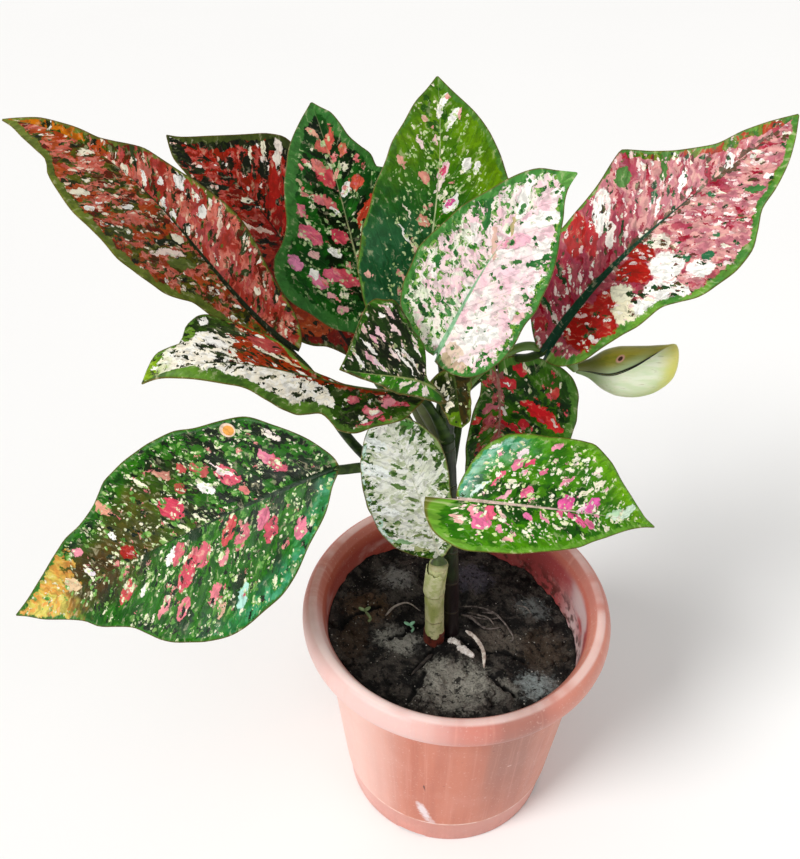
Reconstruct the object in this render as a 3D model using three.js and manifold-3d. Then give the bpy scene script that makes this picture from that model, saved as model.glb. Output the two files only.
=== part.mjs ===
// A potted chinese evergreen: a plastic nursery pot, its soil, two stems, twelve patterned leaves, a closed
// flower bud and the dry litter on the soil. Millimetres, +Z up, the pot's underside on z = 0.

import * as THREE from 'three';
import { ParametricGeometry } from 'three/addons/geometries/ParametricGeometry.js';
import { mergeVertices } from 'three/addons/utils/BufferGeometryUtils.js';
import Module from 'manifold-3d';

const wasm = await Module();
wasm.setup();

// Pot
const POT_HEIGHT = 138;
const RIM_RADIUS = 80;
const RIM_HEIGHT = 13.5;
const BODY_TOP_RADIUS = 69.7;
const BASE_RADIUS = 57.2;
const WALL = 2;
const FLOOR = 3;
const FOOT_STEP_HEIGHT = 20;
const FOOT_STEP = 0.7;
// The hollow rolled rim: each point is [in from the rim's radius, up from the rim's foot]
const RIM_UNDERSIDE = [[10.1, 5], [7.5, 8.1], [4.6, 9.6], [2.4, 6.5], [2.4, 0.3]];
const RIM_OUTSIDE = [[1.8, 0], [0.6, 1.2], [0, 5], [0.6, 9], [2.6, 12], [5.5, 13.5], [7, 13.1]];
const RIM_SHOULDER = [[9, 10.5], [11.4, 7], [12.1, 2]];
const FLOOR_CORNER = 2;
const SHOULDER_DROP = 2;
const POT_SIDES = 48;
const DRAIN_HOLE_SIDES = 12;
const DRAIN_COUNT = 4;
const DRAIN_FIRST_ANGLE = 249;
const DRAIN_WIDTH = 16;
const DRAIN_DEPTH = 2;
const DRAIN_INNER_RADIUS = 28;
const DRAIN_HOLE_RADIUS = 4.5;
const DRAIN_HOLE_LENGTH = 12;
const DRAIN_HOLE_FROM_CENTRE = 36;

// Soil: its top slopes down to the right
const SOIL_MIDDLE_HEIGHT = 110;
const SOIL_SLOPE = 0.13;
const SOIL_LUMP_HEIGHT = 1.6;
// Lumps: how far along x and y one turns by a radian, where it starts, and the finer ones' share of the height
const BROAD_LUMPS = { x: 9, y: 11, startX: 1.3, startY: 0.4 };
const FINE_LUMPS = { x: 5, y: 7, share: 0.6 };
const SOIL_EDGE_GAP = 0.75;
const SOIL_RINGS = 6;
const SOIL_SIDES = 28;

// Clearance between pieces that touch
const GAP = 0.3;

// Stems
const STEM_RADIUS = 4;
const STEM_ROUTE = [[-1, 0, 90], [-3, 0, 140], [-6, 0, 190], [-9, 0, 235], [-12, 0, 262]];
const SHOOT_RADIUS = 5.2;
const SHOOT_ROUTE = [[-11, -4, 92], [-11, -5, 120], [-12, -7, 150], [-11, -11, 175]];

// Blades
const BASE_HALF_WIDTH = 0.8;
const TIP_HALF_WIDTH = 0.4;
const RIB_THICKNESS = 1.8;
const EDGE_THICKNESS = 0.8;
const BLADE_LENGTH_STEPS = 20;
const BLADE_WIDTH_STEPS = 6;
const LOBE_REACH = 0.22;
const LOBE_SHARPNESS = 1.5;
const CURL_CENTRE = 0.6;
const WAVE_OFFSET_RIGHT = 0.37;
const WAVE_RISE = 0.25;
const WAVE_FALL = 0.33;
const BASE_CROWDING = 1.35;
const STALK_OVERLAP = 0.1;

// Each leaf: rib = the midrib's curve from base to tip (end, handle, handle, end); looks = the way its upper
// side looks at the base and at the tip; left, right = [share of the midrib's length, half width there];
// fold = degrees by which each half is raised; curl = degrees more at its edge; lobe = how far each half
// sweeps back by the stalk; wave = height of the edge's ripple, ripples along the blade and where they start;
// stalk = its route to the stem.
const LEAVES = {
  leaf_far_left: {
    rib: [[-77, -5, 297], [-112, -2, 325], [-124, 1, 387], [-178, 5, 388]],
    looks: [[0.55, -0.3, 0.78], [0.35, -0.35, 0.87]],
    left: [
      [0.05, 8], [0.1, 12], [0.15, 15], [0.27, 20], [0.32, 23], [0.36, 28], [0.43, 36], [0.5, 41],
      [0.55, 42], [0.62, 39], [0.7, 36.5], [0.78, 30], [0.82, 25], [0.845, 18.5], [0.88, 15.5],
      [0.93, 10], [0.97, 4],
    ],
    right: [
      [0.05, 12], [0.1, 16], [0.2, 20], [0.3, 22], [0.4, 22.5], [0.5, 20], [0.6, 17], [0.66, 14],
      [0.7, 10.5], [0.74, 6.8], [0.78, 4.4], [0.85, 3.9], [0.91, 3.6], [0.96, 2],
    ],
    fold: [12, 12], curl: [6, 6], lobe: [4, 4], wave: [2, 2.2, 0.1], stalkRadius: 2.4,
    stalk: [[-68, -8, 284], [-61, -12, 269], [-47, -8, 242], [-21, -2, 212], [-6, 0, 196]],
    colour: 0xa8584c,
  },
  leaf_back_left: {
    rib: [[-56, 50, 261], [-79, 57, 294], [-94, 65, 341], [-136, 74, 354]],
    looks: [[0.45, -0.5, 0.75], [0.4, -0.5, 0.8]],
    left: [
      [0.05, 7], [0.1, 12], [0.14, 19], [0.2, 25], [0.3, 28], [0.42, 28.5], [0.55, 26], [0.63, 24],
      [0.71, 21.5], [0.79, 18.5], [0.87, 15], [0.93, 11.5], [0.97, 6],
    ],
    right: [
      [0.05, 10], [0.1, 15], [0.2, 21], [0.4, 28], [0.55, 33], [0.65, 34], [0.7, 32.5], [0.75, 27],
      [0.79, 21], [0.87, 10.5], [0.93, 4.5], [0.97, 1.6],
    ],
    fold: [8, 8], curl: [6, 6], lobe: [6, 6], wave: [2, 2, 0.3], stalkRadius: 2.2,
    stalk: [[-48, 38, 258], [-38, 22, 254], [-28, 13, 246], [-17, 4, 226], [-7, 0, 204]],
    colour: 0x8c3a34,
  },
  leaf_tall_left: {
    rib: [[-43, 32, 282], [-52, 39, 313], [-58, 47, 346], [-70, 56, 377]],
    looks: [[0.1, -0.85, 0.5], [0.2, -0.85, 0.5]],
    left: [
      [0.04, 6], [0.08, 11], [0.12, 18], [0.2, 27], [0.25, 32.5], [0.3, 35.5], [0.38, 37.5], [0.45, 36],
      [0.5, 31.5], [0.55, 28], [0.6, 26.3], [0.65, 25.5], [0.7, 24], [0.75, 22], [0.8, 19.5], [0.85, 17],
      [0.9, 13], [0.95, 7.5],
    ],
    right: [
      [0.05, 10], [0.1, 14], [0.2, 18], [0.4, 24], [0.55, 26], [0.64, 25], [0.675, 22.5], [0.69, 18.8],
      [0.74, 17.5], [0.79, 13.5], [0.84, 10], [0.9, 8], [0.94, 6.3], [0.97, 3.2],
    ],
    fold: [10, 10], curl: [6, 6], lobe: [6, 2], wave: [2, 2, 0], stalkRadius: 2.2,
    stalk: [[-36, 22, 274], [-26, 10, 258], [-15, 3, 238], [-8, 0, 218]],
    colour: 0x4f7a48,
  },
  leaf_tall_back: {
    rib: [[-27, 12, 290], [-20, 19, 325], [-14, 29, 360], [-19, 44, 393]],
    looks: [[0.2, -0.8, 0.5], [0.1, -0.85, 0.5]],
    left: [
      [0.05, 13], [0.12, 21], [0.2, 26.5], [0.3, 30], [0.4, 31], [0.5, 29.3], [0.6, 26.7], [0.67, 24.5],
      [0.72, 22.5], [0.78, 20], [0.85, 15], [0.92, 10], [0.96, 5],
    ],
    right: [
      [0.05, 11], [0.12, 19], [0.2, 24], [0.4, 30], [0.6, 30.5], [0.65, 28.7], [0.7, 26], [0.75, 23.2],
      [0.8, 20.3], [0.84, 17], [0.88, 13], [0.92, 8.5], [0.96, 4.2],
    ],
    fold: [10, 10], curl: [6, 6], lobe: [4, 4], wave: [1, 2, 0], stalkRadius: 2.4,
    stalk: [[-27, 8, 277], [-22, 4, 262], [-11, 0, 246]],
    colour: 0x6b9a4e,
  },
  leaf_pale_centre: {
    rib: [[-16, -5, 296], [-4, -9, 327], [4, -13, 360], [29, -20, 383]],
    looks: [[-0.35, -0.8, 0.5], [-0.2, -0.8, 0.5]],
    left: [
      [0.03, 11], [0.05, 14], [0.1, 20], [0.15, 23.5], [0.25, 26], [0.35, 26.5], [0.45, 25], [0.55, 22],
      [0.65, 18.8], [0.75, 15.5], [0.85, 12], [0.9, 9.3], [0.95, 4.5],
    ],
    right: [
      [0.03, 12], [0.08, 19], [0.15, 24], [0.3, 27.3], [0.45, 27], [0.55, 26], [0.65, 24], [0.75, 20],
      [0.82, 15.5], [0.88, 10.5], [0.915, 6.2], [0.95, 3],
    ],
    fold: [8, 8], curl: [6, 6], lobe: [3, 5], wave: [1, 2, 0], stalkRadius: 2.6,
    stalk: [[-13, -3, 285], [-12, -1, 272], [-12, 0, 258]],
    colour: 0xe8d9d2,
  },
  leaf_far_right: {
    rib: [[31, 5, 292], [49, 8, 334], [81, 11, 361], [114, 14, 392]],
    looks: [[-0.35, -0.5, 0.8], [-0.3, -0.5, 0.8]],
    left: [
      [0.05, 12], [0.1, 18], [0.2, 25], [0.3, 29], [0.4, 30], [0.46, 30.3], [0.54, 32], [0.575, 32.6],
      [0.6, 29.8], [0.64, 24.5], [0.69, 19], [0.75, 14], [0.8, 10.6], [0.86, 9], [0.92, 6], [0.97, 2.6],
    ],
    right: [
      [0.05, 14], [0.1, 19], [0.17, 22], [0.23, 24.5], [0.3, 28.5], [0.38, 31], [0.44, 35], [0.5, 38.5],
      [0.54, 39.3], [0.61, 38.5], [0.69, 35], [0.74, 29.3], [0.785, 23.3], [0.84, 20.5], [0.9, 15.5],
      [0.95, 9],
    ],
    fold: [6, 6], curl: [6, 6], lobe: [3, 5], wave: [2, 2, 0], stalkRadius: 2.2,
    stalk: [[25, 14, 281], [16, 22, 274], [5, 19, 267], [-5, 12, 261], [-11, 2, 250]],
    colour: 0xc9716f,
  },
  leaf_low_left: {
    rib: [[-59, -30, 252], [-110, -34, 229], [-157, -38, 196], [-207, -44, 171]],
    looks: [[0.05, -0.6, 0.8], [0, -0.65, 0.75]],
    left: [
      [0.02, 6], [0.06, 17], [0.12, 27], [0.18, 37.5], [0.24, 44], [0.3, 47.5], [0.36, 49], [0.42, 49.3],
      [0.47, 48.5], [0.53, 45], [0.59, 39.5], [0.62, 35], [0.66, 28.7], [0.71, 24.5], [0.765, 21],
      [0.8, 16.5], [0.86, 11.5], [0.92, 7.3], [0.97, 2.6],
    ],
    right: [
      [0.02, 9], [0.06, 18], [0.12, 28], [0.18, 36.3], [0.24, 39], [0.3, 41], [0.36, 43.3], [0.42, 43.5],
      [0.47, 42], [0.53, 40], [0.59, 37.3], [0.62, 34], [0.66, 29.7], [0.71, 26], [0.765, 22.8],
      [0.8, 19.5], [0.89, 10.5], [0.95, 4.5],
    ],
    fold: [6, 6], curl: [6, 6], lobe: [2, 3], wave: [1.5, 2, 0], stalkRadius: 2.6,
    stalk: [[-54, -24, 247], [-47, -18, 243], [-37, -12, 238], [-23, -6, 228], [-8, 0, 213]],
    colour: 0x5d8a58,
  },
  leaf_drooping_left: {
    rib: [[-26, -15, 283], [-63, -34, 294], [-89, -58, 341], [-125, -56, 315]],
    looks: [[0.1, -0.45, 0.88], [0.1, -0.45, 0.88]],
    left: [
      [0.05, 8], [0.1, 13], [0.2, 17.5], [0.27, 20.5], [0.315, 20], [0.335, 16.6], [0.36, 14.2],
      [0.41, 15.8], [0.46, 16.8], [0.52, 16.4], [0.57, 14.5], [0.63, 11.5], [0.72, 8.5], [0.81, 5.6],
      [0.88, 3.4], [0.95, 1.2],
    ],
    right: [
      [0.05, 1.4], [0.2, 1.4], [0.3, 2.1], [0.38, 2.6], [0.425, 6], [0.45, 12], [0.48, 16.5],
      [0.54, 20.5], [0.6, 24], [0.66, 26.8], [0.72, 28], [0.77, 27.4], [0.81, 24.5], [0.835, 21],
      [0.85, 15], [0.865, 12.4], [0.9, 12.2], [0.945, 12], [0.975, 8.5],
    ],
    fold: [0, -20], curl: [0, 0], lobe: [6, 2], wave: [2, 2, 0], stalkRadius: 2.2,
    stalk: [[-21, -9, 274], [-14, -4, 258], [-10, 0, 246]],
    colour: 0xd9c9b0,
  },
  leaf_small_centre: {
    rib: [[-17, -20, 288], [-26, -27, 301], [-41, -35, 304], [-54, -42, 313]],
    looks: [[0.15, -0.55, 0.82], [0.15, -0.55, 0.82]],
    left: [
      [0.05, 4], [0.1, 5.2], [0.2, 6.4], [0.4, 6.4], [0.5, 5.6], [0.6, 4.8], [0.7, 3.4], [0.8, 2],
      [0.9, 1],
    ],
    right: [
      [0.05, 1.4], [0.12, 2], [0.155, 4], [0.175, 12], [0.2, 16.5], [0.3, 21.5], [0.4, 27.5],
      [0.5, 31], [0.6, 31], [0.7, 28], [0.8, 21], [0.9, 11], [0.96, 4.5],
    ],
    fold: [-35, 5], curl: [0, 6], lobe: [12, 2], wave: [1, 2, 0], stalkRadius: 1.6,
    stalk: [[-13, -11, 276], [-12, -5, 266], [-11, 0, 258]],
    colour: 0x4a6b3e,
  },
  leaf_young_shoot: {
    rib: [[-11, -11, 181], [-18, -14, 211], [-26, -18, 243], [-40, -13, 272]],
    looks: [[-0.05, -0.85, 0.5], [-0.05, -0.85, 0.5]],
    left: [
      [0.05, 8], [0.1, 12.5], [0.2, 18.5], [0.3, 22], [0.37, 23.3], [0.48, 23.5], [0.58, 22.8],
      [0.69, 21], [0.77, 19], [0.83, 16], [0.9, 11.5], [0.95, 6.8],
    ],
    right: [
      [0.05, 5], [0.1, 8.5], [0.2, 11.5], [0.32, 13.3], [0.45, 14.6], [0.53, 16], [0.62, 17.6],
      [0.68, 18.3], [0.75, 17.8], [0.83, 15], [0.89, 11.5], [0.93, 8.2], [0.97, 3.6],
    ],
    fold: [8, 8], curl: [6, 6], lobe: [1, 1], wave: [1, 2, 0], stalkRadius: 2.8,
    stalk: [[-11, -11, 175.9]],
    colour: 0xdfe4cf,
  },
  leaf_low_right: {
    rib: [[-4, -24, 231], [28, -34, 236], [63, -26, 226], [87, -16, 208]],
    looks: [[0.1, -0.6, 0.8], [0.1, -0.6, 0.8]],
    left: [
      [0.03, 12], [0.06, 18], [0.1, 24], [0.16, 28.5], [0.2, 30.6], [0.31, 31.8], [0.41, 32], [0.51, 32],
      [0.57, 30.8], [0.62, 28], [0.67, 24.5], [0.72, 20.3], [0.77, 15.5], [0.82, 11], [0.88, 6.5],
      [0.93, 3],
    ],
    right: [
      [0.03, 12], [0.06, 17], [0.1, 20.5], [0.16, 22.8], [0.25, 22.3], [0.31, 21.5], [0.41, 19.5],
      [0.52, 16.8], [0.62, 12.5], [0.72, 8.5], [0.82, 4.5], [0.92, 1.8],
    ],
    fold: [6, 6], curl: [6, 6], lobe: [2, 16], wave: [1, 2, 0], stalkRadius: 2,
    stalk: [[-2, -16, 222], [-3, -7, 208], [-6, 0, 196]],
    colour: 0x9cc46a,
  },
  leaf_under_right: {
    rib: [[12, 14, 271], [17, 4, 244], [12, 4, 214], [12, 6, 186]],
    looks: [[0.15, -0.9, 0.4], [0.15, -0.9, 0.4]],
    left: [
      [0.03, 18], [0.06, 25], [0.1, 31], [0.14, 34.5], [0.21, 36.5], [0.3, 36.5], [0.4, 34.5], [0.6, 28],
      [0.78, 18], [0.92, 7],
    ],
    right: [
      [0.03, 13], [0.06, 11.5], [0.1, 8], [0.15, 8.7], [0.2, 11], [0.27, 13.5], [0.34, 14.6],
      [0.4, 15.2], [0.6, 13.5], [0.78, 9], [0.92, 4],
    ],
    fold: [0, 0], curl: [0, 0], lobe: [8, 8], wave: [1, 2, 0], stalkRadius: 2,
    stalk: [[4, 16, 272], [-3, 13, 260], [-5, 8, 244], [-8, 0, 226]],
    colour: 0x3f5f38,
  },
  leaf_sheath: {
    rib: [[-9, -10, 288], [-8, -13, 283], [-7, -16, 278], [-5, -20, 268]],
    looks: [[0.1, -0.8, 0.6], [0.1, -0.9, 0.45]],
    left: [[0.1, 7.5], [0.3, 7.5], [0.5, 6], [0.75, 5.5], [0.93, 4.2]],
    right: [[0.1, 8], [0.25, 11.5], [0.4, 10.5], [0.6, 8], [0.8, 6], [0.93, 5]],
    fold: [-12, -20], curl: [0, 0], lobe: [2, 3], wave: [0.8, 2, 0], stalkRadius: 1.4,
    stalk: [[-9, -7, 281], [-10, -3, 272], [-11, 0, 262]],
    colour: 0x5f7a34,
  },
};

// Flower bud: a blunt spindle, the stations from its foot to its tip with the half height at each
const BUD_AXIS = [[46, 12, 277], [60, 12, 278.5], [76, 12, 271], [89.5, 12, 283]];
const BUD_RADII = [
  [0, 2.3], [0.12, 4.4], [0.3, 9.8], [0.45, 12], [0.6, 12.4], [0.75, 11.8], [0.88, 10], [0.97, 7],
];
const BUD_FLATNESS = 0.75;
const BUD_STALK_RADIUS = 2;
const BUD_STALK = [
  [46, 12, 277], [41, 12, 281], [32, 11, 287], [21, 9, 290], [8, 8, 282], [-2, 6, 270], [-10, 0, 256],
];
const BUD_SIDES = 10;

const STALK_SIDES = 8;
const STEM_SIDES = 12;

// Dead roots, strips and a twig that lie on the soil: a route's points are [x, y, height of its middle over
// the soil]
const LITTER = {
  surface_root_arch: {
    radius: 0.9, route: [[-37, 8, 0.6], [-32, 13, 3], [-25, 15, 4], [-18, 12, 1]], colour: 0xb5a591,
  },
  surface_root_loop: {
    radius: 0.8, route: [[4, 13, 0.6], [10, 9, 2], [17, 5, 1], [27, 8, 0.6]], colour: 0x8d8074,
  },
  surface_root_side: {
    radius: 0.7, route: [[16, 16, 0.6], [24, 14, 2], [32, 3, 1], [30, -2, 0.6]], colour: 0x7d7168,
  },
  dry_strip_curved: {
    radius: 1.3, route: [[6, 0, 0.8], [11, -4, 2.4], [15, -11, 2.6], [15, -21, 0.8]], colour: 0xb8ab98,
  },
  bark_chip_pale: { radius: 1.9, route: [[1, -13, 1], [5, -14, 1.4], [10, -16, 1]], colour: 0xd8cfc0 },
  dark_twig: { radius: 1.1, route: [[-12, -15, 0.8], [-17, -21, 1.4], [-23, -30, 0.8]], colour: 0x1d1a19 },
  seedling_left: { radius: 1, route: [[-46, 1, 0.5], [-45, 2, 3], [-48, 4, 5]], colour: 0x8fa66a },
  seedling_near_stem: { radius: 0.9, route: [[-23, -2, 0.5], [-22, -1, 3], [-24, 0, 5]], colour: 0x8fa66a },
};
const LITTER_SIDES = 6;

// The brown scale at the shoot's foot, the torn sheath at its top, and a dry sheath round an old stalk
const SCALE_THICKNESS = 1.8;
const SCALE_ROUTE = [[-11, -4, 108], [-11, -4.5, 121]];
const SCALE_OPENING = { middle: [-4, -14, 122], size: [14, 14, 6] };
const SHEATH_THICKNESS = 1;
const SHEATH_ROUTE = [[-12, -7, 152], [-11.5, -9, 164], [-11, -11, 174]];
const SHOOT_OPENING = { middle: [-32, -10, 160], size: [40, 40, 60] };
const STALK_SLEEVE_ROUTE = [[-45, 33, 256.9], [-38, 22, 254], [-31, 16, 249.5]];
const STALK_OPENING = { middle: [-38, 25, 233], size: [60, 60, 40] };

const COLOURS = {
  pot: 0xd88f7c,
  soil: 0x2b2624,
  mainStem: 0x3f5a2c,
  shootStem: 0xb9bf7c,
  scale: 0x6b3a30,
  shootSheath: 0xcfc6a0,
  stalkSheath: 0xb98252,
  bud: 0xc9cf9a,
};
const ROUGHNESS = { pot: 0.5, soil: 0.95, stem: 0.6, leaf: 0.45, litter: 0.85, bud: 0.5 };

// Solid from a three.js geometry, facing outward
function solidOf(geometry) {
  const bare = geometry.clone();
  bare.deleteAttribute('normal');
  bare.deleteAttribute('uv');
  const merged = mergeVertices(bare);
  const make = (triangles) => new wasm.Manifold(new wasm.Mesh({
    numProp: 3,
    vertProperties: new Float32Array(merged.attributes.position.array),
    triVerts: new Uint32Array(triangles),
  }));
  const triangles = withoutSlivers(Array.from(merged.index.array));
  const solid = make(triangles);
  return solid.volume() > 0 ? solid : make(triangles.reverse());
}

// Triangles that still have three different corners
function withoutSlivers(corners) {
  const kept = [];
  for (let i = 0; i < corners.length; i += 3) {
    const [a, b, c] = corners.slice(i, i + 3);
    if (a !== b && b !== c && c !== a) kept.push(a, b, c);
  }
  return kept;
}

// The largest of a solid's separate pieces
function largestPiece(solid) {
  return solid.decompose().reduce((best, piece) => (piece.volume() > best.volume() ? piece : best));
}

function geometryOf(solid) {
  const mesh = solid.getMesh();
  const geometry = new THREE.BufferGeometry();
  geometry.setAttribute('position', new THREE.BufferAttribute(mesh.vertProperties, 3));
  geometry.setIndex(new THREE.BufferAttribute(mesh.triVerts, 1));
  geometry.computeVertexNormals();
  return geometry;
}

const vector = ([x, y, z]) => new THREE.Vector3(x, y, z);

// A round tube along points, closed at both ends
function tube(points, radius, sides = STALK_SIDES, stepsPerSpan = 2) {
  const section = new THREE.Shape(Array.from({ length: sides }, (_, i) => {
    const angle = (2 * Math.PI * i) / sides;
    return new THREE.Vector2(radius * Math.cos(angle), radius * Math.sin(angle));
  }));
  const route = new THREE.CatmullRomCurve3(points.map(vector), false, 'centripetal');
  const steps = Math.max(2, (points.length - 1) * stepsPerSpan);
  return solidOf(new THREE.ExtrudeGeometry(section, { steps, extrudePath: route, bevelEnabled: false }));
}

// A body of revolution about z from a closed profile of [radius, height]
function turned(profile, sides) {
  return solidOf(new THREE.LatheGeometry(profile.map(([r, z]) => new THREE.Vector2(r, z)), sides)
    .rotateX(Math.PI / 2));
}

// Half width of a blade at a share t of its length: a smooth curve through the pairs that doesn't overshoot,
// round at the base
function halfWidth(pairs, t) {
  const along = [0, ...pairs.map(([share]) => Math.sqrt(share)), 1];
  const width = [BASE_HALF_WIDTH, ...pairs.map(([, half]) => half), TIP_HALF_WIDTH];
  const last = along.length - 1;
  const rise = along.slice(1).map((end, k) => (width[k + 1] - width[k]) / (end - along[k]));
  const slope = (k) => {
    if (k === 0 || k === last) return rise[Math.min(k, last - 1)];
    const [before, after] = [rise[k - 1], rise[k]];
    return before * after > 0 ? (2 * before * after) / (before + after) : 0;
  };
  const u = Math.sqrt(t);
  let i = 0;
  while (i < last - 1 && u > along[i + 1]) i += 1;
  const step = along[i + 1] - along[i];
  const f = (u - along[i]) / step;
  return (2 * f ** 3 - 3 * f ** 2 + 1) * width[i] + (f ** 3 - 2 * f ** 2 + f) * step * slope(i)
    + (3 * f ** 2 - 2 * f ** 3) * width[i + 1] + (f ** 3 - f ** 2) * step * slope(i + 1);
}

// A place on a blade: t from base to tip, s from -1 (left edge) to 1 (right edge), seen from above with the
// tip ahead; lift moves it along the blade's normal
function bladePoint(leaf, t, s, lift) {
  const rib = new THREE.CubicBezierCurve3(...leaf.rib.map(vector));
  const ahead = rib.getTangent(t);
  const looks = vector(leaf.looks[0]).lerp(vector(leaf.looks[1]), t);
  const across = ahead.clone().cross(looks).normalize();
  const normal = across.clone().cross(ahead);
  const side = s < 0 ? 0 : 1;
  const reach = Math.abs(s);
  const width = halfWidth(side ? leaf.right : leaf.left, t);
  const angle = THREE.MathUtils.degToRad(leaf.fold[side] + leaf.curl[side] * (reach - CURL_CENTRE));
  const [height, ripples, start] = leaf.wave;
  const ends = Math.min(1, t / WAVE_RISE) * Math.min(1, (1 - t) / WAVE_FALL);
  const phase = 2 * Math.PI * (ripples * t + start + WAVE_OFFSET_RIGHT * side);
  const ripple = height * s * s * Math.sin(phase) * ends;
  const back = leaf.lobe[side] * reach ** LOBE_SHARPNESS * Math.exp(-((t / LOBE_REACH) ** 2));
  return rib.getPoint(t)
    .addScaledVector(across, width * s * Math.cos(angle))
    .addScaledVector(normal, width * reach * Math.sin(angle) + ripple + lift)
    .addScaledVector(ahead, -back);
}

// A thin closed blade: one turn of u goes over the upper side and back under it
function blade(leaf) {
  const around = 2 * (BLADE_WIDTH_STEPS + 1);
  const along = BLADE_LENGTH_STEPS + 2;
  const shape = (u, v, target) => {
    const ring = Math.round(v * along);
    const t = Math.min(Math.max((ring - 1) / BLADE_LENGTH_STEPS, 0), 1) ** BASE_CROWDING;
    if (ring === 0 || ring === along) {
      target.copy(bladePoint(leaf, t, 0, 0));
      return;
    }
    const place = Math.round(u * around) % around;
    const under = place > BLADE_WIDTH_STEPS;
    const step = under ? around - 1 - place : place;
    const s = (2 * step) / BLADE_WIDTH_STEPS - 1;
    const thickness = RIB_THICKNESS + (EDGE_THICKNESS - RIB_THICKNESS) * Math.sqrt(Math.abs(s));
    target.copy(bladePoint(leaf, t, s, (under ? -0.5 : 0.5) * thickness));
  };
  return solidOf(new ParametricGeometry(shape, around, along));
}

// A leaf's stalk: it starts a little way along the blade's midrib, so the two join in one solid
function stalk(leaf, extra = 0) {
  const rib = new THREE.CubicBezierCurve3(...leaf.rib.map(vector));
  const start = [STALK_OVERLAP, 0].map((t) => rib.getPoint(t).toArray());
  return tube([...start, ...leaf.stalk], leaf.stalkRadius + extra);
}

function soilHeight(x, y) {
  const { startX, startY } = BROAD_LUMPS;
  const broad = Math.sin(x / BROAD_LUMPS.x + startX) * Math.cos(y / BROAD_LUMPS.y + startY);
  const fine = FINE_LUMPS.share * Math.sin(x / FINE_LUMPS.x - y / FINE_LUMPS.y);
  return SOIL_MIDDLE_HEIGHT - SOIL_SLOPE * x + SOIL_LUMP_HEIGHT * (broad + fine);
}

// The pot's inner radius at a height
function innerRadius(z) {
  const rimFoot = POT_HEIGHT - RIM_HEIGHT;
  const share = Math.min(z / rimFoot, 1);
  return BASE_RADIUS + (BODY_TOP_RADIUS - BASE_RADIUS) * share - WALL;
}

function pot() {
  const rimFoot = POT_HEIGHT - RIM_HEIGHT;
  const stepRadius = BASE_RADIUS + (BODY_TOP_RADIUS - BASE_RADIUS) * (FOOT_STEP_HEIGHT / rimFoot);
  const foot = [
    [0, 0], [BASE_RADIUS - FOOT_STEP, 0], [stepRadius - FOOT_STEP, FOOT_STEP_HEIGHT],
    [stepRadius, FOOT_STEP_HEIGHT + FOOT_STEP], [BODY_TOP_RADIUS, rimFoot],
  ];
  const rim = [...RIM_UNDERSIDE, ...RIM_OUTSIDE, ...RIM_SHOULDER]
    .map(([inward, up]) => [RIM_RADIUS - inward, rimFoot + up]);
  const inside = [
    [innerRadius(rimFoot), rimFoot - SHOULDER_DROP], [innerRadius(FLOOR), FLOOR + FLOOR_CORNER],
    [innerRadius(FLOOR) - FLOOR_CORNER, FLOOR], [0, FLOOR],
  ];
  let body = turned([...foot, ...rim, ...inside], POT_SIDES);
  for (let i = 0; i < DRAIN_COUNT; i += 1) {
    const angle = THREE.MathUtils.degToRad(DRAIN_FIRST_ANGLE + (360 * i) / DRAIN_COUNT);
    const length = RIM_RADIUS - DRAIN_INNER_RADIUS;
    const groove = new THREE.BoxGeometry(length, DRAIN_WIDTH, 2 * DRAIN_DEPTH)
      .translate(DRAIN_INNER_RADIUS + length / 2, 0, 0)
      .rotateZ(angle);
    const drill = [DRAIN_HOLE_RADIUS, DRAIN_HOLE_RADIUS, DRAIN_HOLE_LENGTH, DRAIN_HOLE_SIDES];
    const hole = new THREE.CylinderGeometry(...drill)
      .rotateX(Math.PI / 2)
      .translate(DRAIN_HOLE_FROM_CENTRE * Math.cos(angle), DRAIN_HOLE_FROM_CENTRE * Math.sin(angle), FLOOR);
    body = body.subtract(solidOf(groove)).subtract(solidOf(hole));
  }
  return body;
}

// The soil's radius at its top edge, a little inside the pot's sloping wall
function soilEdge(angle) {
  const height = SOIL_MIDDLE_HEIGHT - SOIL_SLOPE * innerRadius(SOIL_MIDDLE_HEIGHT) * Math.cos(angle);
  return innerRadius(height) - SOIL_EDGE_GAP;
}

// The soil fills the pot below its uneven top; ring 0 is its underside's middle and the last its top's middle
function soil(raised = 0) {
  const bottom = FLOOR + GAP;
  const outerRing = 2;
  const rings = outerRing + SOIL_RINGS + 1;
  const shape = (u, v, target) => {
    const ring = Math.round(v * rings);
    const angle = (2 * Math.PI * (Math.round(u * SOIL_SIDES) % SOIL_SIDES)) / SOIL_SIDES;
    const place = (radius, z) => target.set(radius * Math.cos(angle), radius * Math.sin(angle), z);
    if (ring === 0) return target.set(0, 0, bottom);
    if (ring === 1) return place(innerRadius(FLOOR) - FLOOR_CORNER - GAP, bottom);
    if (ring === outerRing) return place(innerRadius(FLOOR) - GAP, bottom + FLOOR_CORNER);
    const share = (rings - ring) / SOIL_RINGS;
    const edge = soilEdge(angle);
    const [x, y] = [share * edge * Math.cos(angle), share * edge * Math.sin(angle)];
    return target.set(x, y, soilHeight(x, y) + raised);
  };
  return solidOf(new ParametricGeometry(shape, SOIL_SIDES, rings));
}

// A spindle round a curved axis, closed at its tip
function bud() {
  const axis = new THREE.CubicBezierCurve3(...BUD_AXIS.map(vector));
  const rings = BUD_RADII.length + 1;
  const shape = (u, v, target) => {
    const ring = Math.round(v * rings);
    const angle = (2 * Math.PI * (Math.round(u * BUD_SIDES) % BUD_SIDES)) / BUD_SIDES;
    const inRange = ring > 0 && ring < rings;
    const [t, radius] = inRange ? BUD_RADII[ring - 1] : [ring === 0 ? 0 : 1, 0];
    target.copy(axis.getPoint(t));
    target.y += radius * BUD_FLATNESS * Math.cos(angle);
    target.z += radius * Math.sin(angle);
  };
  return solidOf(new ParametricGeometry(shape, BUD_SIDES, rings));
}

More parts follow.
